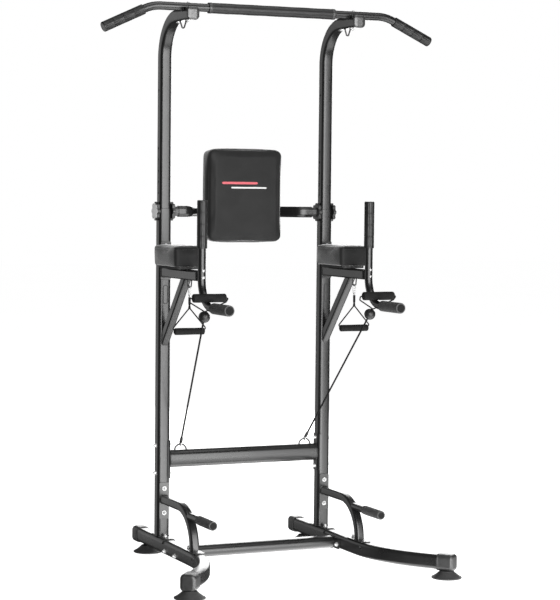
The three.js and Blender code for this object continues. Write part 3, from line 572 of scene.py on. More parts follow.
def make_studio():
    """White floor and surroundings, with tall soft boxes that draw a bright line down each tube."""
    corners = ((-30, -30), (30, -30), (30, 30), (-30, 30))
    slab = loft([[Vector((x, y, z)) for x, y in corners] for z in (-0.02, -0.0002)])
    floor = placed("floor", as_mesh("floor", slab))
    pale = Finish("floor", 0.9, Emission_Color=(1, 1, 1, 1), Emission_Strength=0.95)
    pale.colour(pale.noise(0.6, 2), grey(0.38), grey(0.42))
    floor.data.materials.append(pale.material)
    floor.visible_diffuse = floor.visible_glossy = floor.visible_shadow = False
    world = bpy.data.worlds.new("studio")
    bpy.context.scene.world = world
    world.use_nodes = True
    tree = world.node_tree
    plain, dim = tree.nodes["Background"], tree.nodes.new("ShaderNodeBackground")
    for background in (plain, dim):
        background.inputs["Color"].default_value = (1, 1, 1, 1)
    dim.inputs["Strength"].default_value = 0.10
    mix, path = tree.nodes.new("ShaderNodeMixShader"), tree.nodes.new("ShaderNodeLightPath")
    tree.links.new(path.outputs["Is Camera Ray"], mix.inputs["Fac"])
    tree.links.new(dim.outputs["Background"], mix.inputs[1])
    tree.links.new(plain.outputs["Background"], mix.inputs[2])
    tree.links.new(mix.outputs["Shader"], tree.nodes["World Output"].inputs["Surface"])
    soft_box("front_box", Vector((-0.15, -4.6, 1.3)), 5.0, 4.2, 10.4)
    soft_box("left_box", Vector((-3.0, 4.0, 1.3)), 4.2, 4.2, 0.8)
    soft_box("top_box", Vector((0.4, -0.8, 5.0)), 3.0, 3.0, 3.0)
    soft_box("rear_box", Vector((2.7, 4.2, 2.0)), 3.8, 3.6, 5.0)
    soft_box("low_box", Vector((0.3, -0.55, -0.4)), 2.6, 2.7, 4.5)
    bpy.context.scene.view_settings.view_transform = "Standard"


# ---- cords


def cord(name, route, radius, finish, body):
    """A taut, limp cord as a round curve. It ends on the machine."""
    data = bpy.data.curves.new(f"{name}_look", "CURVE")
    data.dimensions = "3D"
    data.bevel_depth, data.bevel_resolution, data.use_fill_caps = radius, 4, True
    spline = data.splines.new("POLY")
    spline.points.add(len(route) - 1)
    for point, place in zip(spline.points, route):
        point.co = (*place, 1)
    thing = placed(f"{name}_look", data)
    dress(thing, name, finish, body)


def cord_pair(name, route, radius, finish, body="base_frame"):
    for side, turn in (("right", 1), ("left", -1)):
        its_route = [Vector((turn * p.x, p.y, p.z)) for p in route]
        cord(f"{name}_{side}", its_route, radius, finish, body.replace("*", side))


RING_X, RING_TOP = 0.264, 0.4415
BAND_START, BAND_RADIUS = 0.018, 0.0035
BALL_AT, BALL_RADIUS = at(0.337, -0.420, 0.961), 0.0215
BAND_HANDLE_AT, BAND_HANDLE_HALF = at(0.342, -0.4792, 1.0328), 0.064
CORD_RADIUS = 0.0025
EYE_Y = -0.2785
STRAP_APEX_Z, SWING_HANDLE_Z, SWING_HANDLE_HALF = 0.986, 0.899, 0.061

ring_top = at(RING_X, 0, RING_TOP)
band_way = (BALL_AT - ring_top).normalized()


def bridle_route():
    """From one end of the band's handle, over the ball's top, to the handle's other end."""
    up = BAND_HANDLE_AT - BALL_AT
    up.x = 0
    up.normalize()
    apex = BALL_AT + up * (BALL_RADIUS + 0.004)
    apex.x = BAND_HANDLE_AT.x
    sides = []
    for turn in (-1, 1):
        end = BAND_HANDLE_AT + X * (turn * BAND_HANDLE_HALF)
        sides.append([end - X * (turn * 0.006), end + X * (turn * 0.011) - up * 0.001,
                      end + X * (turn * 0.007) - up * 0.020])
    return bent([*sides[0], apex, *sides[1][::-1]], 0.0055, 6)


def make_cords():
    start, end = ring_top + band_way * BAND_START, BALL_AT - band_way * (BALL_RADIUS - 0.001)
    cord_pair("band", straight(start, end, 20), BAND_RADIUS, BAND_RUBBER)
    cord_pair("band_bridle", bridle_route(), CORD_RADIUS, WEBBING)
    reach = SWING_HANDLE_HALF + 0.001
    corners = [(-reach + 0.006, SWING_HANDLE_Z), (-reach - 0.003, SWING_HANDLE_Z + 0.012), (0, STRAP_APEX_Z),
               (reach + 0.003, SWING_HANDLE_Z + 0.012), (reach - 0.006, SWING_HANDLE_Z)]
    route = bent([at(SIDE_X + x, EYE_Y, z) for x, z in corners], 0.005, 6)
    cord_pair("swing_strap", route, CORD_RADIUS, WEBBING, "swing_*")


# ---- base

RAIL_BEND_Y, RAIL_BEND_RADIUS = -0.332, 0.543
RAIL_SPLAY, RAIL_TOE = math.radians(38), 0.116
TOE_WAY = Vector((math.sin(RAIL_SPLAY), -math.cos(RAIL_SPLAY), 0))


def rail_point(turn, out=0.0, z=RAIL_Z):
    """A point of the rail's bend after turning by an angle, moved outwards from its axis."""
    reach = RAIL_BEND_RADIUS - out
    centre = at(SIDE_X + RAIL_BEND_RADIUS, RAIL_BEND_Y, z)
    return centre - Vector((reach * math.cos(turn), reach * math.sin(turn), 0))


def rail_route():
    curve = [rail_point(RAIL_SPLAY * i / 20) for i in range(21)]
    return [at(SIDE_X, 0.255, RAIL_Z), *curve, curve[-1] + TOE_WAY * RAIL_TOE]


def rail_cap(length, end, way):
    """A moulded cup over a rail's end, with a domed face inside a soft rim and a stepped skirt."""
    full = rounded_rect(0.058, 0.062, 0.017, 8)
    rings = [(length, 0.0012), (length - 0.001, 0.0002), (length - 0.006, 0.0), (length - 0.0075, 0.0008),
             (length - 0.009, 0.0), (0.010, 0.0), (0.0055, 0.0012), (0.0022, 0.0040), (0.0006, 0.0085),
             (0.0, 0.0125)]
    across = way.cross(Z).normalized()
    return loft([[end - way * depth + across * u + Z * v for u, v in inset(full, shrink)]
                 for depth, shrink in rings])


def foot_shape(x, y):
    """A suction foot: neck, flared skirt with a thin lip, and a hollow underside."""
    top = RAIL_Z - 0.031 - GAP
    skirt = [(0.056 - 0.027 * s, 0.0045 + (top - 0.0085) * s**1.25) for s in (0, 0.2, 0.4, 0.6, 0.8, 1)]
    profile = [(0, 0.012), (0.020, 0.0105), (0.034, 0.005), (0.042, 0), (0.0545, 0), (0.056, 0.0015),
               (0.056, 0.0035), *skirt, (0.0275, top - 0.002), (0.0262, top), (0, top)]
    return turned(profile, at(x, y, 0), Z, 64)


def make_base():
    tube = sweep(rounded_rect(RAIL_WIDTH, RAIL_TOP - RAIL_LOW, RAIL_CORNER), rail_route(), Z)
    rails = pair("base_rail", tube, STEEL)
    hole_turn, hole_z, past = math.asin(0.066 / RAIL_BEND_RADIUS), 0.0655, 0.004
    hole = [rail_point(hole_turn, side * (RAIL_WIDTH / 2 + past), hole_z) for side in (-1, 1)]
    carve(rails, [sweep(circle(0.0042, 20), hole, Z)])

    toe = rail_route()[-1] + TOE_WAY * 0.0043
    pair("front_rail_cap", rail_cap(0.064, toe, TOE_WAY), BLACK_PLASTIC)
    pair("rear_rail_cap", rail_cap(0.052, at(SIDE_X, 0.262, RAIL_Z), Y), BLACK_PLASTIC)
    toe_foot = toe - TOE_WAY * 0.032
    pair("front_foot", foot_shape(toe_foot.x, toe_foot.y - AXIS_Y), FOOT_RUBBER)
    pair("rear_foot", foot_shape(SIDE_X, 0.150), FOOT_RUBBER)

    inner = SIDE_X - RAIL_WIDTH / 2 - GAP
    bar_y, bar_z, plate_wall = -0.157, 0.052, 0.004
    oval = rolled(0.046, 0.070, 0.018, 0.004)
    bar = sweep(oval, [at(side * (inner - 0.001), bar_y, bar_z) for side in (-1, 1)], Y)
    plate_face = at(inner - plate_wall, bar_y, bar_z)
    end_plate = plate(rounded_rect(0.146, 0.042, 0.008), plate_wall, plate_face, Y, Z)
    bead = weld([(v, u) for u, v in oval][::-1], plate_face - X * 0.001, Y, Z)
    piece("base_crossbar", merged(bar, both_sides(merged(end_plate, bead))), STEEL)

    heads = ((SIDE_X + RAIL_WIDTH / 2, X), (inner - plate_wall, -X))
    bolts = [bolt(at(x, y, 0.048), way) for y in (-0.103, -0.211) for x, way in heads]
    pair("base_bolts", merged(*bolts), BRIGHT)


# ---- uprights and lower crossbar

UPRIGHT_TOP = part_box("lower_upright_right")[1].z
CROSSBAR_Z = 0.387
SADDLE_WALL = 0.0043


def make_lower_uprights():
    section = rounded_rect(UPRIGHT_SIDE, UPRIGHT_SIDE, UPRIGHT_CORNER, 8)
    walls = rolled(UPRIGHT_SIDE, UPRIGHT_SIDE, UPRIGHT_CORNER)
    tube = sweep(walls, [at(SIDE_X, 0, z) for z in (RAIL_TOP + GAP + 0.003, UPRIGHT_TOP)], X, 0.0012)
    saddle = clasp(RAIL_WIDTH, RAIL_TOP - RAIL_LOW, RAIL_CORNER, SADDLE_WALL, 0.060, -0.085,
                   lambda u, v, along: at(SIDE_X + u, along, RAIL_Z + v))
    bead = weld(section, at(SIDE_X, 0, RAIL_TOP + GAP + 0.0045), X, Y)
    pair("lower_upright", merged(tube, saddle, bead), STEEL)

    reach = UPRIGHT_SIDE / 2
    mount_face = -reach - 0.0033
    bolts = [bolt(at(SIDE_X, y, RAIL_TOP + SADDLE_WALL), Z) for y in (-0.042, 0.043)]
    bolts += [bolt(at(SIDE_X + reach, 0, z), X) for z in (0.440, 0.334)]
    bolts += [bolt(at(SIDE_X, reach, z), Y) for z in (0.846, 0.276, 0.182, 1.213, 1.092)]
    bolts += [bolt(at(SIDE_X, mount_face, z), -Y, 0.0085) for z in (0.276, 0.182)]
    bolts.append(bolt(at(SIDE_X, mount_face, 1.2135), -Y, 0.0045, hexagonal=False))
    pair("upright_bolts", merged(*bolts), BRIGHT)

    oval = rounded_rect(0.020, 0.074, 0.0099, 14)
    inner_oval, sunk, proud = inset(oval, 0.0028), 0.001 - reach, -0.0004 - reach
    edges = ((oval, sunk), (oval, proud), (inner_oval, proud), (inner_oval, sunk))
    rings = [[at(SIDE_X + outline[i][0], y, 1.023 + outline[i][1]) for outline, y in edges]
             for i in range(len(oval))]
    pair("upright_badge", loft(rings, closed=True), BOARD)


def make_lower_crossbar():
    face = SIDE_X - UPRIGHT_SIDE / 2 - GAP
    oval = rolled(0.067, 0.046, 0.020, 0.004)
    bar = sweep(oval, [at(side * (face - 0.001), 0, CROSSBAR_Z) for side in (-1, 1)], Y)
    half = 0.073
    channel = clasp(UPRIGHT_SIDE, UPRIGHT_SIDE, UPRIGHT_CORNER, 0.0033, -half, half,
                    lambda u, v, along: at(SIDE_X - v, u, CROSSBAR_Z + along))
    bead = weld([(v, u) for u, v in oval][::-1], at(face - 0.0034, 0, CROSSBAR_Z), Y, Z)
    ring_radius = 0.024
    wire = arc(RING_X, RING_TOP - ring_radius, ring_radius, -8, 188, 28)
    ring = sweep(circle(0.003, 16), [at(x, 0, z) for x, z in wire], Y)
    piece("lower_crossbar", merged(bar, both_sides(merged(channel, bead, ring))), STEEL)
    bolts = [bolt(at(face - 0.003, 0, z), -X, 0.0075) for z in (0.444, 0.330)]
    pair("channel_bolts", merged(*bolts), BRIGHT)


# ---- grips


def fluted(radius, length, base, way):
    """A foam sleeve moulded with lengthwise flutes, broken by ring grooves. It grows from its domed end."""
    flutes, depth, ends, groove = 12, 0.0011, 0.006, 0.0009
    breaks = [length * i / 4 for i in (1, 2, 3)]

    def ripple(angle, height):
        along = -height
        if along < ends or along > length - ends or min(abs(along - b) for b in breaks) < 0.0016:
            return 0.0
        return -depth * max(0.0, math.cos(flutes * angle) - 0.15) / 0.85

    steps = {0.004, *(end + d for end in (ends, length - ends) for d in (-0.0005, 0.0005)),
             *(b + d for b in breaks for d in (-0.0022, -0.0014, 0.0014, 0.0022))}
    body = [(radius, -s) for s in steps] + [(radius - groove, -b) for b in breaks]
    body.sort(key=lambda point: point[1])
    profile = [(0, -length), (radius - 0.001, -length), (radius, -length + 0.001), *body,
               (radius - 0.0008, -0.0015), (radius * 0.90, -0.0003), (radius * 0.8, 0), (0, 0)]
    return turned(profile, base, way, flutes * 8, ripple)


def knurled(radius, length, base, way):
    """A foam sleeve with a raised diamond pattern and a plain end rim."""
    pitch, relief, rim = 0.0062, 0.0007, 0.007
    around = round(2 * math.pi * radius / pitch)

    def ripple(angle, height):
        along = -height
        if along < rim or along > length - rim:
            return 0.0
        turn, climb = around * angle, 2 * math.pi * along / pitch
        return relief * math.cos((turn + climb) / 2) * math.cos((turn - climb) / 2)

    rows = round(length / 0.0016)
    body = [(radius, -length + 0.002 + (length - 0.005) * i / rows) for i in range(rows + 1)]
    profile = [(0, -length), (radius - 0.0015, -length), *body,
               (radius * 0.96, -0.001), (radius * 0.85, 0), (0, 0)]
    return turned(profile, base, way, 64, ripple)


def plain_sleeve(radius, half, middle, way, lip=0.0012):
    """A foam sleeve with softly rounded ends and faint waviness from being pushed on."""

    def ripple(angle, height):
        return 0.00025 * math.sin(60 * height + 2 * angle)

    rows = 40
    body = [(radius, -half + 0.004 + (2 * half - 0.008) * i / rows) for i in range(rows + 1)]
    profile = [(0, -half), (radius - 0.004, -half), (radius - lip, -half + 0.0012), *body,
               (radius - lip, half - 0.0012), (radius - 0.004, half), (0, half)]
    return turned(profile, middle, way, 48, ripple)


def end_disc(radius, base, way):
    """The thin moulded disc in a grip's closed end."""
    profile = [(0, -0.002), (radius, -0.002), (radius, 0.0002), (radius - 0.001, 0.0008), (0, 0.0008)]
    return turned(profile, base, way, 40)


# ---- push-up handles


def make_push_up_handles():
    side, top, leg_y, wall = 0.032, 0.234, -0.347, 0.003
    front, foot_top = -UPRIGHT_SIDE / 2 - GAP, RAIL_TOP + GAP
    corners = [(front - 0.001, top), (leg_y, top), (leg_y, foot_top + 0.001)]
    section = rounded_rect(side, side, 0.009, 8)
    tube = sweep(section, bent([at(SIDE_X, y, z) for y, z in corners], 0.145, 24), X)
    back_plate = plate(rounded_rect(0.040, 0.142, 0.006), wall, at(SIDE_X, front - wall, 0.229), -X, Z)
    foot_plate = plate(rounded_rect(0.044, 0.124, 0.006), wall, at(SIDE_X + 0.001, -0.344, foot_top), X, Y)
    beads = merged(weld(section, at(SIDE_X, leg_y, foot_top + 0.0035), X, Y, 0.0018),
                   weld(section, at(SIDE_X, front - 0.0035, top), -X, Z, 0.0018))
    handle_z, root_y, tip_y = 0.210, -0.300, -0.531
    handle = sweep(circle(0.014), [at(SIDE_X, y, handle_z) for y in (root_y, tip_y + 0.006)], X)
    pair("pushup_brace", merged(tube, back_plate, foot_plate, beads, handle), STEEL)
    tip = at(SIDE_X, tip_y, handle_z)
    pair("pushup_grip", knurled(0.0167, 0.140, tip, -Y), SPECKLED, flat_faces=False)
    pair("pushup_grip_end", end_disc(0.0125, tip, -Y), FOAM)
    bolts = [bolt(at(SIDE_X + 0.001, y, foot_top + wall), Z, 0.0075) for y in (-0.291, -0.391)]
    pair("foot_plate_bolts", merged(*bolts), BRIGHT)


# ---- dip station

ARM_Z, ARM_SIDE = 1.109, 0.038
DIP_Y, DIP_Z, DIP_RADIUS = -0.399, 0.997, 0.015


def make_dip_station():
    front, under = -UPRIGHT_SIDE / 2 - GAP, ARM_Z - ARM_SIDE / 2
    section = rounded_rect(ARM_SIDE, ARM_SIDE, 0.008, 8)
    tube = sweep(section, [at(SIDE_X, y, ARM_Z) for y in (front - 0.001, -0.3835)], X, 0.0008)
    mount = plate(rounded_rect(0.042, 0.146, 0.006), 0.003, at(SIDE_X, front - 0.003, 1.153), -X, Z)
    bead = weld(section, at(SIDE_X, front - 0.0035, ARM_Z), -X, Z, 0.0018)
    spread = 0.0085
    wire = [(-spread, under + 0.001), *arc(0, 1.0685, 0.0065, 180, 360, 20), (spread, under + 0.001)]
    eye = sweep(circle(0.0025, 16), [at(SIDE_X + x, EYE_Y, z) for x, z in wire], Y)
    pair("arm_tube", merged(tube, mount, bead, eye), STEEL)

    low, high = at(SIDE_X, front, 0.854), at(SIDE_X, -0.239, under - GAP)
    pair("arm_brace", strut(rounded_rect(0.036, 0.031, 0.008, 8), low, high, X, Y, Z), STEEL)

    dip_end, grip_tip, upright_tip = -0.661, -0.667, 1.386
    corners = [(DIP_Y, upright_tip - 0.008), (DIP_Y, DIP_Z), (dip_end, DIP_Z)]
    route = bent([at(SIDE_X, y, z) for y, z in corners], 0.104, 24)
    pair("dip_tube", sweep(circle(DIP_RADIUS), route, X), STEEL)
    bolts = [bolt(at(SIDE_X, DIP_Y - DIP_RADIUS, z), -Y, 0.0045, hexagonal=False) for z in (1.1285, 1.103)]
    pair("dip_bolts", merged(*bolts), BRIGHT)

    tip = at(SIDE_X, DIP_Y, upright_tip)
    pair("upright_grip", fluted(0.0190, 0.176, tip, Z), GRIP_SKIN, flat_faces=False)
    tip = at(SIDE_X, grip_tip, DIP_Z)
    pair("dip_grip", knurled(0.0197, 0.151, tip, -Y), SPECKLED, flat_faces=False)
    pair("dip_grip_end", end_disc(0.0150, tip, -Y), FOAM)


# ---- pads


def block_mesh(name, size, corner, top_round, barrel, origin, across, up):
    """A slab with rounded corners and top edges and barrelled sides. Its flat back lies at the origin."""
    width, length, height = size
    out = across.cross(up)
    wall = height - top_round
    levels = [(0.0, barrel + 0.002), (0.002, barrel)]
    levels += [(wall * t, barrel * (1 - math.sin(math.pi / 2 * t) ** 1.5))
               for t in (0.15, 0.3, 0.45, 0.6, 0.8)]
    for i in range(9):
        angle = math.pi / 2 * i / 8
        levels.append((wall + top_round * math.sin(angle), top_round * (1 - math.cos(angle))))
    rings = []
    for level, shrink in levels:
        section = rounded_rect(width - 2 * shrink, length - 2 * shrink, max(corner - shrink, 0.004), 6)
        rings.append([origin + across * x + up * y + out * level for x, y in section])
    return as_mesh(name, loft(rings))


def evened(mesh, moves, rounds=12):
    """Averages each vertex's move with its neighbours' moves, so that the cover swells without lumps."""
    for _ in range(rounds):
        sums, counts = [m.copy() for m in moves], [1] * len(moves)
        for edge in mesh.edges:
            a, b = edge.vertices
            sums[a] += moves[b]
            sums[b] += moves[a]
            counts[a] += 1
            counts[b] += 1
        moves = [total / count for total, count in zip(sums, counts)]
    return moves


def inflate(thing, is_held, cap):
    """Swells a pad by cloth simulation, holding its board side, with each point within cap of its start."""
    remesh = thing.modifiers.new("remesh", "REMESH")
    remesh.mode, remesh.voxel_size = "VOXEL", 0.0042
    dense = applied(thing)
    start = [v.co.copy() for v in dense.vertices]
    held = thing.vertex_groups.new(name="board")
    held.add([i for i, co in enumerate(start) if is_held(co)], 1.0, "REPLACE")
    cloth = thing.modifiers.new("cloth", "CLOTH")
    settings = cloth.settings
    settings.use_pressure, settings.uniform_pressure_force = True, 2.0
    settings.vertex_group_mass = "board"
    settings.effector_weights.gravity = 0
    cloth.point_cache.frame_start, cloth.point_cache.frame_end = 1, 20
    for step in range(1, 21):
        bpy.context.scene.frame_set(step)
    swollen = applied(thing)
    moves = evened(dense, [vertex.co - co for vertex, co in zip(swollen.vertices, start)])
    for vertex, co, move in zip(swollen.vertices, start, moves):
        vertex.co = co + move * min(1.0, cap / max(move.length, 1e-9))
    thing.vertex_groups.clear()
    smooth = thing.modifiers.new("smooth", "SMOOTH")
    smooth.factor, smooth.iterations = 0.5, 3
    finer = thing.modifiers.new("finer", "SUBSURF")
    finer.levels = finer.render_levels = 1
    for polygon in applied(thing).polygons:
        polygon.use_smooth = True


def tree_of(mesh):
    return BVHTree.FromPolygons([v.co for v in mesh.vertices], [p.vertices for p in mesh.polygons])


def seam(surface, middle, across, up, level):
    """A stitched welt round a pad at a level above its board, laid on the surface by casting rays inwards."""
    tree, middle = tree_of(surface), middle + across.cross(up) * level
    points, count, reach, sink = [], 220, 0.4, 0.0004
    for i in range(count):
        angle = 2 * math.pi * i / count
        way = across * math.cos(angle) + up * math.sin(angle)
        hit, normal, _, _ = tree.ray_cast(middle + way * reach, -way)
        points.append(hit - normal * sink)
    return loop_tube(points, 0.0011, 8)


def make_pad(name, body, size, corner, top_round, barrel, origin, across, up, cap, seam_level):
    """A board-backed cushion: a swollen cover with a stitched seam round it."""
    out = across.cross(up)
    width, length, height = size
    slab = (width - cap, length - cap, height - cap / 2)
    mesh = block_mesh(name, slab, corner, top_round, barrel, origin, across, up)
    thing = placed(f"{name}_look", mesh)
    inflate(thing, lambda co: (co - origin).dot(out) < 0.006, cap)
    thing.data.materials.clear()
    dress(thing, name, LEATHERETTE, body)
    welt = seam(thing.data, origin, across, up, seam_level)
    piece(f"{name}_seams", welt, LEATHERETTE, body, flat_faces=False)
    return thing


def make_arm_pads():
    rear, front, bottom, top = -0.053, -0.286, 1.138, 1.214
    for side, turn in (("right", 1), ("left", -1)):
        origin = at(turn * SIDE_X, (rear + front) / 2, bottom)
        make_pad(f"arm_pad_{side}", "base_frame", (0.128, 0.235, top - bottom), 0.014, 0.008, 0.003,
                 origin, X, Y, 0.004, 0.063)
    low, high = at(SIDE_X - 0.048, -0.272, 1.1286), at(SIDE_X + 0.048, -0.067, bottom + 0.002)
    pair("arm_pad_board", box(low, high), BOARD)


BACK_FRONT, BACK_REAR = -0.007, 0.075
BACK_LOW, BACK_HIGH = 1.221, 1.586


def make_back_pad():
    middle = at(0, BACK_REAR, (BACK_LOW + BACK_HIGH) / 2)
    size = (0.316, BACK_HIGH - BACK_LOW, BACK_REAR - BACK_FRONT)
    pad = make_pad("back_pad", "backrest", size, 0.027, 0.012, 0.005, middle, X, Z, 0.005, 0.064)
    tree = tree_of(pad.data)

    def printed(name, ink, x, z, height):
        """A stripe of ink with rounded ends that lies on the swollen cover."""
        width, columns, rows = 0.150, 40, 4
        vertices = []
        for j in range(rows + 1):
            offset = j / rows - 0.5
            trim = height / 2 * (1 - math.sqrt(1 - 4 * offset * offset))
            for i in range(columns + 1):
                row_x = x + (width / 2 - trim) * (2 * i / columns - 1)
                hit = tree.ray_cast(at(row_x, -0.2, z + height * offset), Y)[0]
                vertices.append(hit - Y * 0.0004)
        corners = (0, 1, columns + 2, columns + 1)
        faces = [tuple(a * (columns + 1) + i + corner for corner in corners)
                 for a in range(rows) for i in range(columns)]
        piece(name, (vertices, faces), ink, "backrest", flat_faces=False)

    printed("back_pad_stripe_upper", RED_INK, -0.028, 1.452, 0.009)
    printed("back_pad_stripe_lower", PALE_INK, 0.010, 1.434, 0.006)


# ---- upper frame

MAST_ARM_Z, MAST_BEND, MAST_TIP_Y = 2.072, 0.150, -0.287
BAR_Y, BAR_Z, BAR_RADIUS, BAR_BEND_X, BAR_TIP_X = -0.240, 2.098, 0.0155, 0.480, 0.6708
BAR_DROOP = math.radians(25)


def make_masts():
    section = rolled(MAST_SIDE, MAST_SIDE, 0.011)
    corners = [at(SIDE_X, 0, 1.150), at(SIDE_X, 0, MAST_ARM_Z), at(SIDE_X, MAST_TIP_Y, MAST_ARM_Z)]
    masts = pair("upper_upright", sweep(section, bent(corners, MAST_BEND, 28), X), STEEL, "upper_frame")

    def drilled(radius, y, z, sides):
        past = MAST_SIDE / 2 + 0.004
        return sweep(circle(radius, sides), [at(SIDE_X - past, y, z), at(SIDE_X + past, y, z)], Z)

    holes = [drilled(0.0045, 0, z, 20) for z in (1.410, 1.4525, 1.495, 1.5375, 1.580, 1.802)]
    carve(masts, [*holes, drilled(BAR_RADIUS + GAP, BAR_Y, BAR_Z, 40)])

    under, hook_y, half = MAST_ARM_Z - MAST_SIDE / 2, -0.192, 0.012
    corners = [at(SIDE_X + x, hook_y, under + z) for x, z in ((-half, 0.001), (0, -0.036), (half, 0.001))]
    hook = sweep(circle(0.003, 16), bent(corners, 0.005, 8), Y)
    bead = [(0, -0.001), (0.0052, -0.001), (0.0046, 0.0012), (0.003, 0.0024), (0, 0.0024)]
    beads = [turned(bead, at(SIDE_X + x, hook_y, under), -Z, 20) for x in (-half, half)]
    pair("mast_hook", merged(hook, *beads), STEEL, "upper_frame")

    def bar_bead(x):
        ring = arc(BAR_Y, BAR_Z, BAR_RADIUS + 0.001, 195, 345, 20)
        return sweep(circle(0.002, 10), [at(SIDE_X + x, y, z) for y, z in ring], X)

    face = MAST_SIDE / 2 + 0.0004
    pair("bar_weld", merged(bar_bead(face), bar_bead(-face)), STEEL, "upper_frame")

    cap_end = at(SIDE_X, MAST_TIP_Y - GAP - 0.012, MAST_ARM_Z)
    rings = [(0.0015, 0.0117), (0.0015, 0.0105), (0.0, 0.0100)]
    rings += [(0.008 * (1 - math.cos(a)), 0.0014 + 0.0066 * (1 - math.sin(a)))
              for a in [math.pi / 2 * i / 6 for i in range(6)]]
    rings += [(0.010, 0.0008), (0.0145, 0.0001)]
    dome = loft([[cap_end + X * u + Z * v + Y * depth
                  for u, v in rounded_rect(0.050 - 2 * shrink, 0.050 - 2 * shrink, 0.016 - shrink, 8)]
                 for shrink, depth in rings])
    pair("top_cap", dome, GREY_PLASTIC, "upper_frame")


def make_pull_up_bar():
    drop = (BAR_TIP_X - BAR_BEND_X) * math.tan(BAR_DROOP)
    tip = at(BAR_TIP_X, BAR_Y, BAR_Z - drop)
    way = Vector((math.cos(BAR_DROOP), 0, -math.sin(BAR_DROOP)))
    inner = tip - way * 0.006
    bends = [at(x, BAR_Y, BAR_Z) for x in (-BAR_BEND_X, BAR_BEND_X)]
    corners = [Vector((-inner.x, inner.y, inner.z)), *bends, inner]
    bar = sweep(circle(BAR_RADIUS), bent(corners, 0.150, 10), Y)
    piece("pull_up_bar", bar, STEEL, "upper_frame")
    sleeve = plain_sleeve(0.0197, 0.260, at(0, BAR_Y, BAR_Z), X)
    piece("centre_grip", sleeve, GRIP_SKIN, "upper_frame", flat_faces=False)
    rim, collar_radius = 0.0201, 0.0204
    collar = [(0, -0.006), (rim, -0.006), (collar_radius, -0.005), (collar_radius, 0.005), (rim, 0.006),
              (0, 0.006)]
    collars = merged(*[turned(collar, at(x, BAR_Y, BAR_Z), X, 40) for x in (-0.253, 0.253)])
    piece("centre_grip_collars", collars, BLACK_PLASTIC, "upper_frame", flat_faces=False)
    pair("end_grip", fluted(0.0192, 0.172, tip, way), GRIP_SKIN, "upper_frame", flat_faces=False)
    pair("end_grip_disc", end_disc(0.0168, tip, way), FOAM_END, "upper_frame")
    bolts = merged(bolt(at(SIDE_X, BAR_Y, BAR_Z + BAR_RADIUS), Z, 0.006, hexagonal=False),
                   bolt(at(SIDE_X, BAR_Y, MAST_ARM_Z - MAST_SIDE / 2), -Z, 0.006))
    pair("bar_bolts", bolts, BRIGHT, "upper_frame")


# ---- backrest and knobs

KNOB_Z, KNOB_THICKNESS, STUD_RADIUS = 1.341, 0.012, 0.006


def make_backrest_bar():
    end_x, turn_x, back_x, back_y, mount_wall = 0.283, 0.240, 0.166, 0.099, 0.004

    def along(*stops):
        return [at(x, 0, KNOB_Z) for x in stops]

    places = ((-end_x, 0), (-turn_x, 0), (-back_x, back_y), (back_x, back_y), (turn_x, 0), (end_x, 0))
    route = bent([at(x, y, KNOB_Z) for x, y in places], 0.036, 10)
    bar = sweep(rounded_rect(0.032, 0.043, 0.015, 8), route, Z, 0.001)
    stud = sweep(circle(STUD_RADIUS, 24), along(end_x - 0.004, SIDE_X - MAST_SIDE / 2 - 0.0006), Z)
    neck = sweep(rounded_rect(0.027, 0.036, 0.0125, 8), along(end_x - 0.001, 0.302), Z, 0.001)
    piece("backrest_necks", both_sides(neck), BLACK_PLASTIC, "backrest")
    mount = at(0, BACK_REAR + GAP, KNOB_Z + 0.040)
    mount_plate = plate(rounded_rect(0.140, 0.170, 0.010), mount_wall, mount, -X, Z)
    half, block_front, block_rear = 0.012, BACK_REAR + 0.003, back_y - 0.015
    standoffs = [box(at(x - half, block_front, KNOB_Z - half), at(x + half, block_rear, KNOB_Z + half))
                 for x in (-0.045, 0.045)]
    piece("backrest_bar", merged(bar, both_sides(stud), mount_plate, *standoffs), STEEL, "backrest")
    rear = BACK_REAR + GAP + mount_wall
    bolts = [bolt(at(x, rear, KNOB_Z + z), Y, 0.007, hexagonal=False)
             for x in (-0.055, 0.055) for z in (-0.030, 0.110)]
    piece("backrest_bolts", merged(*bolts), BRIGHT, "backrest")


def lobes_at(x, shrink):
    """A knob's lobed outline at a place along its stud."""
    lobes, radius, relief = 8, 0.0330, 0.0030
    points = []
    for angle in turn_angles(lobes * 20):
        wave = math.cos(lobes * angle)
        reach = radius + relief * math.copysign(abs(wave) ** 0.45, wave) - shrink
        points.append(at(x, reach * math.cos(angle), KNOB_Z + reach * math.sin(angle)))
    return points


def knob_shape(face_x, outward):
    """A wheel with deep rounded lobes and a bevelled rim. face_x is its outer face."""
    rim = [(0.0, 0.0018), (0.0006, 0.0006), (0.0014, 0.0)]
    levels = rim + [(KNOB_THICKNESS - depth, shrink) for depth, shrink in
                    ((0.0016, 0.0), (0.0006, 0.0006), (0.0, 0.0018))]
    return loft([lobes_at(face_x - outward * depth, shrink) for depth, shrink in levels])


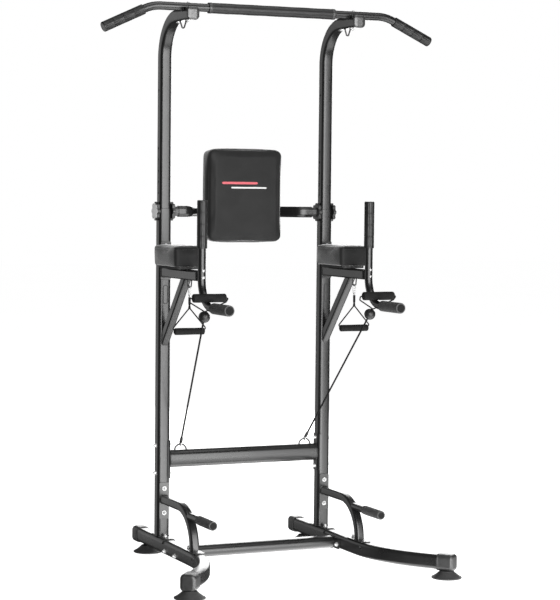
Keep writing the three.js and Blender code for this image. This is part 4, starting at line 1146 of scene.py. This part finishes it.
def make_knobs():
    outer_face = SIDE_X + UPRIGHT_SIDE / 2 + GAP + KNOB_THICKNESS
    inner_face = SIDE_X - UPRIGHT_SIDE / 2 - GAP - KNOB_THICKNESS
    stud_ends = [at(x, 0, KNOB_Z) for x in (SIDE_X + MAST_SIDE / 2 + 0.0006, outer_face - 0.011)]
    stud = sweep(circle(STUD_RADIUS, 24), stud_ends, Z)
    pair("outer_knob", merged(knob_shape(outer_face, 1), stud), BLACK_PLASTIC, "outer_knob_*")
    pair("inner_knob", knob_shape(inner_face, -1), BLACK_PLASTIC, "inner_knob_*")
    # The outer face gets a light grey skin over the black knob: a painted highlight standing in for the light
    # that falls on that face.
    skin = [lobes_at(outer_face + height, shrink)
            for height, shrink in ((-0.0012, 0.0024), (0.0003, 0.0024), (0.0008, 0.0034))]
    pair("outer_knob_face", loft(skin), PAINTED_HIGHLIGHT_KNOB_FACE, "outer_knob_*")
    ring = [(0.0075, -0.001), (0.0240, -0.001), (0.0240, 0.0002), (0.0230, 0.0006), (0.0085, 0.0006),
            (0.0075, 0.0002), (0.0075, -0.001)]
    ring_shape = turned(ring, at(inner_face, 0, KNOB_Z), -X, 48)
    pair("inner_knob_face", ring_shape, BLACK_PLASTIC, "inner_knob_*")


# ---- bands and hanging handles


def handle_tube(radius, half, middle):
    """A foam handle on a plastic core that shows as a small ring at each end."""
    core = [(0, 0), (radius * 0.55, 0), (radius * 0.55, 0.0012), (0, 0.0012)]
    ends = [turned(core, middle + X * (turn * half), X * turn, 24) for turn in (-1, 1)]
    return merged(plain_sleeve(radius, half, middle, X, 0.0015), *ends)


def make_band_ends():
    radius = 0.0074
    ring = [ring_top + band_way * 0.0016 + Vector((0, radius * math.cos(a), radius * math.sin(a)))
            for a in turn_angles(32)]
    pair("band_clip", loop_tube(ring, 0.002, 12), BRIGHT)
    start, end = 0.0085, 0.036
    sleeve = [(0, start), (0.0040, start), (0.0056, start + 0.002), (0.0058, end - 0.006), (0.0042, end),
              (0, end)]
    pair("band_sleeve", turned(sleeve, ring_top, band_way, 28), BALL_RUBBER)

    sphere = [(BALL_RADIUS * math.sin(a), -BALL_RADIUS * math.cos(a))
              for a in [math.pi * i / 30 for i in range(1, 30)]]
    open_top = [(r, h) for r, h in sphere if h <= 0 or r >= 0.0062]
    profile = [(0, -BALL_RADIUS), *open_top, (0.0055, BALL_RADIUS * 0.90), (0.0050, BALL_RADIUS * 0.72),
               (0, BALL_RADIUS * 0.70)]
    pair("band_ball", turned(profile, BALL_AT, band_way, 48), BALL_RUBBER)
    handle = handle_tube(0.0158, BAND_HANDLE_HALF, BAND_HANDLE_AT)
    pair("band_handle", handle, FOAM, flat_faces=False)


def make_hanging_handles():
    """The spring clip on the arm's eye, its webbing and its handle."""
    low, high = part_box("carabiner_right")
    middle_z, radius, stretch = (low.z + high.z) / 2, 0.009, 0.0106
    loop = arc(0, stretch, radius, 0, 180, 20) + arc(0, -stretch, radius, 180, 360, 20)
    loop = [(y * (0.86 if z < 0 else 1.0), z) for y, z in loop]
    wire = loop_tube([at(SIDE_X, EYE_Y + y, middle_z + z) for y, z in loop], 0.0021, 12)
    gate = [(0, -0.007), (0.0029, -0.007), (0.0031, -0.006), (0.0031, 0.006), (0.0029, 0.007), (0, 0.007)]
    gate_at = at(SIDE_X, EYE_Y + radius * 0.93, middle_z)
    pair("carabiner", merged(wire, turned(gate, gate_at, Z, 20)), BRIGHT, "swing_*")
    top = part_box("swing_strap_right")[1].z
    fold = rounded_rect(0.009, 0.0048, 0.0015, 4)
    rings = []
    for i in range(13):
        z = STRAP_APEX_Z - 0.003 + (top - STRAP_APEX_Z + 0.003) * i / 12
        pinch = 1.0 - 0.28 * math.exp(-(((z - STRAP_APEX_Z - 0.009) / 0.004) ** 2))
        rings.append([at(SIDE_X + u * pinch, EYE_Y + v * pinch, z) for u, v in fold])
    pair("swing_webbing", loft(rings), WEBBING, "swing_*")
    handle = handle_tube(0.0128, SWING_HANDLE_HALF - 0.002, at(SIDE_X, EYE_Y, SWING_HANDLE_Z))
    pair("swing_handle", handle, FOAM, "swing_*", flat_faces=False)


# ---- assembly

make_camera()
make_cords()
make_studio()
make_base()
make_lower_uprights()
make_lower_crossbar()
make_push_up_handles()
make_dip_station()
make_arm_pads()
make_back_pad()
make_masts()
make_pull_up_bar()
make_backrest_bar()
make_knobs()
make_band_ends()
make_hanging_handles()
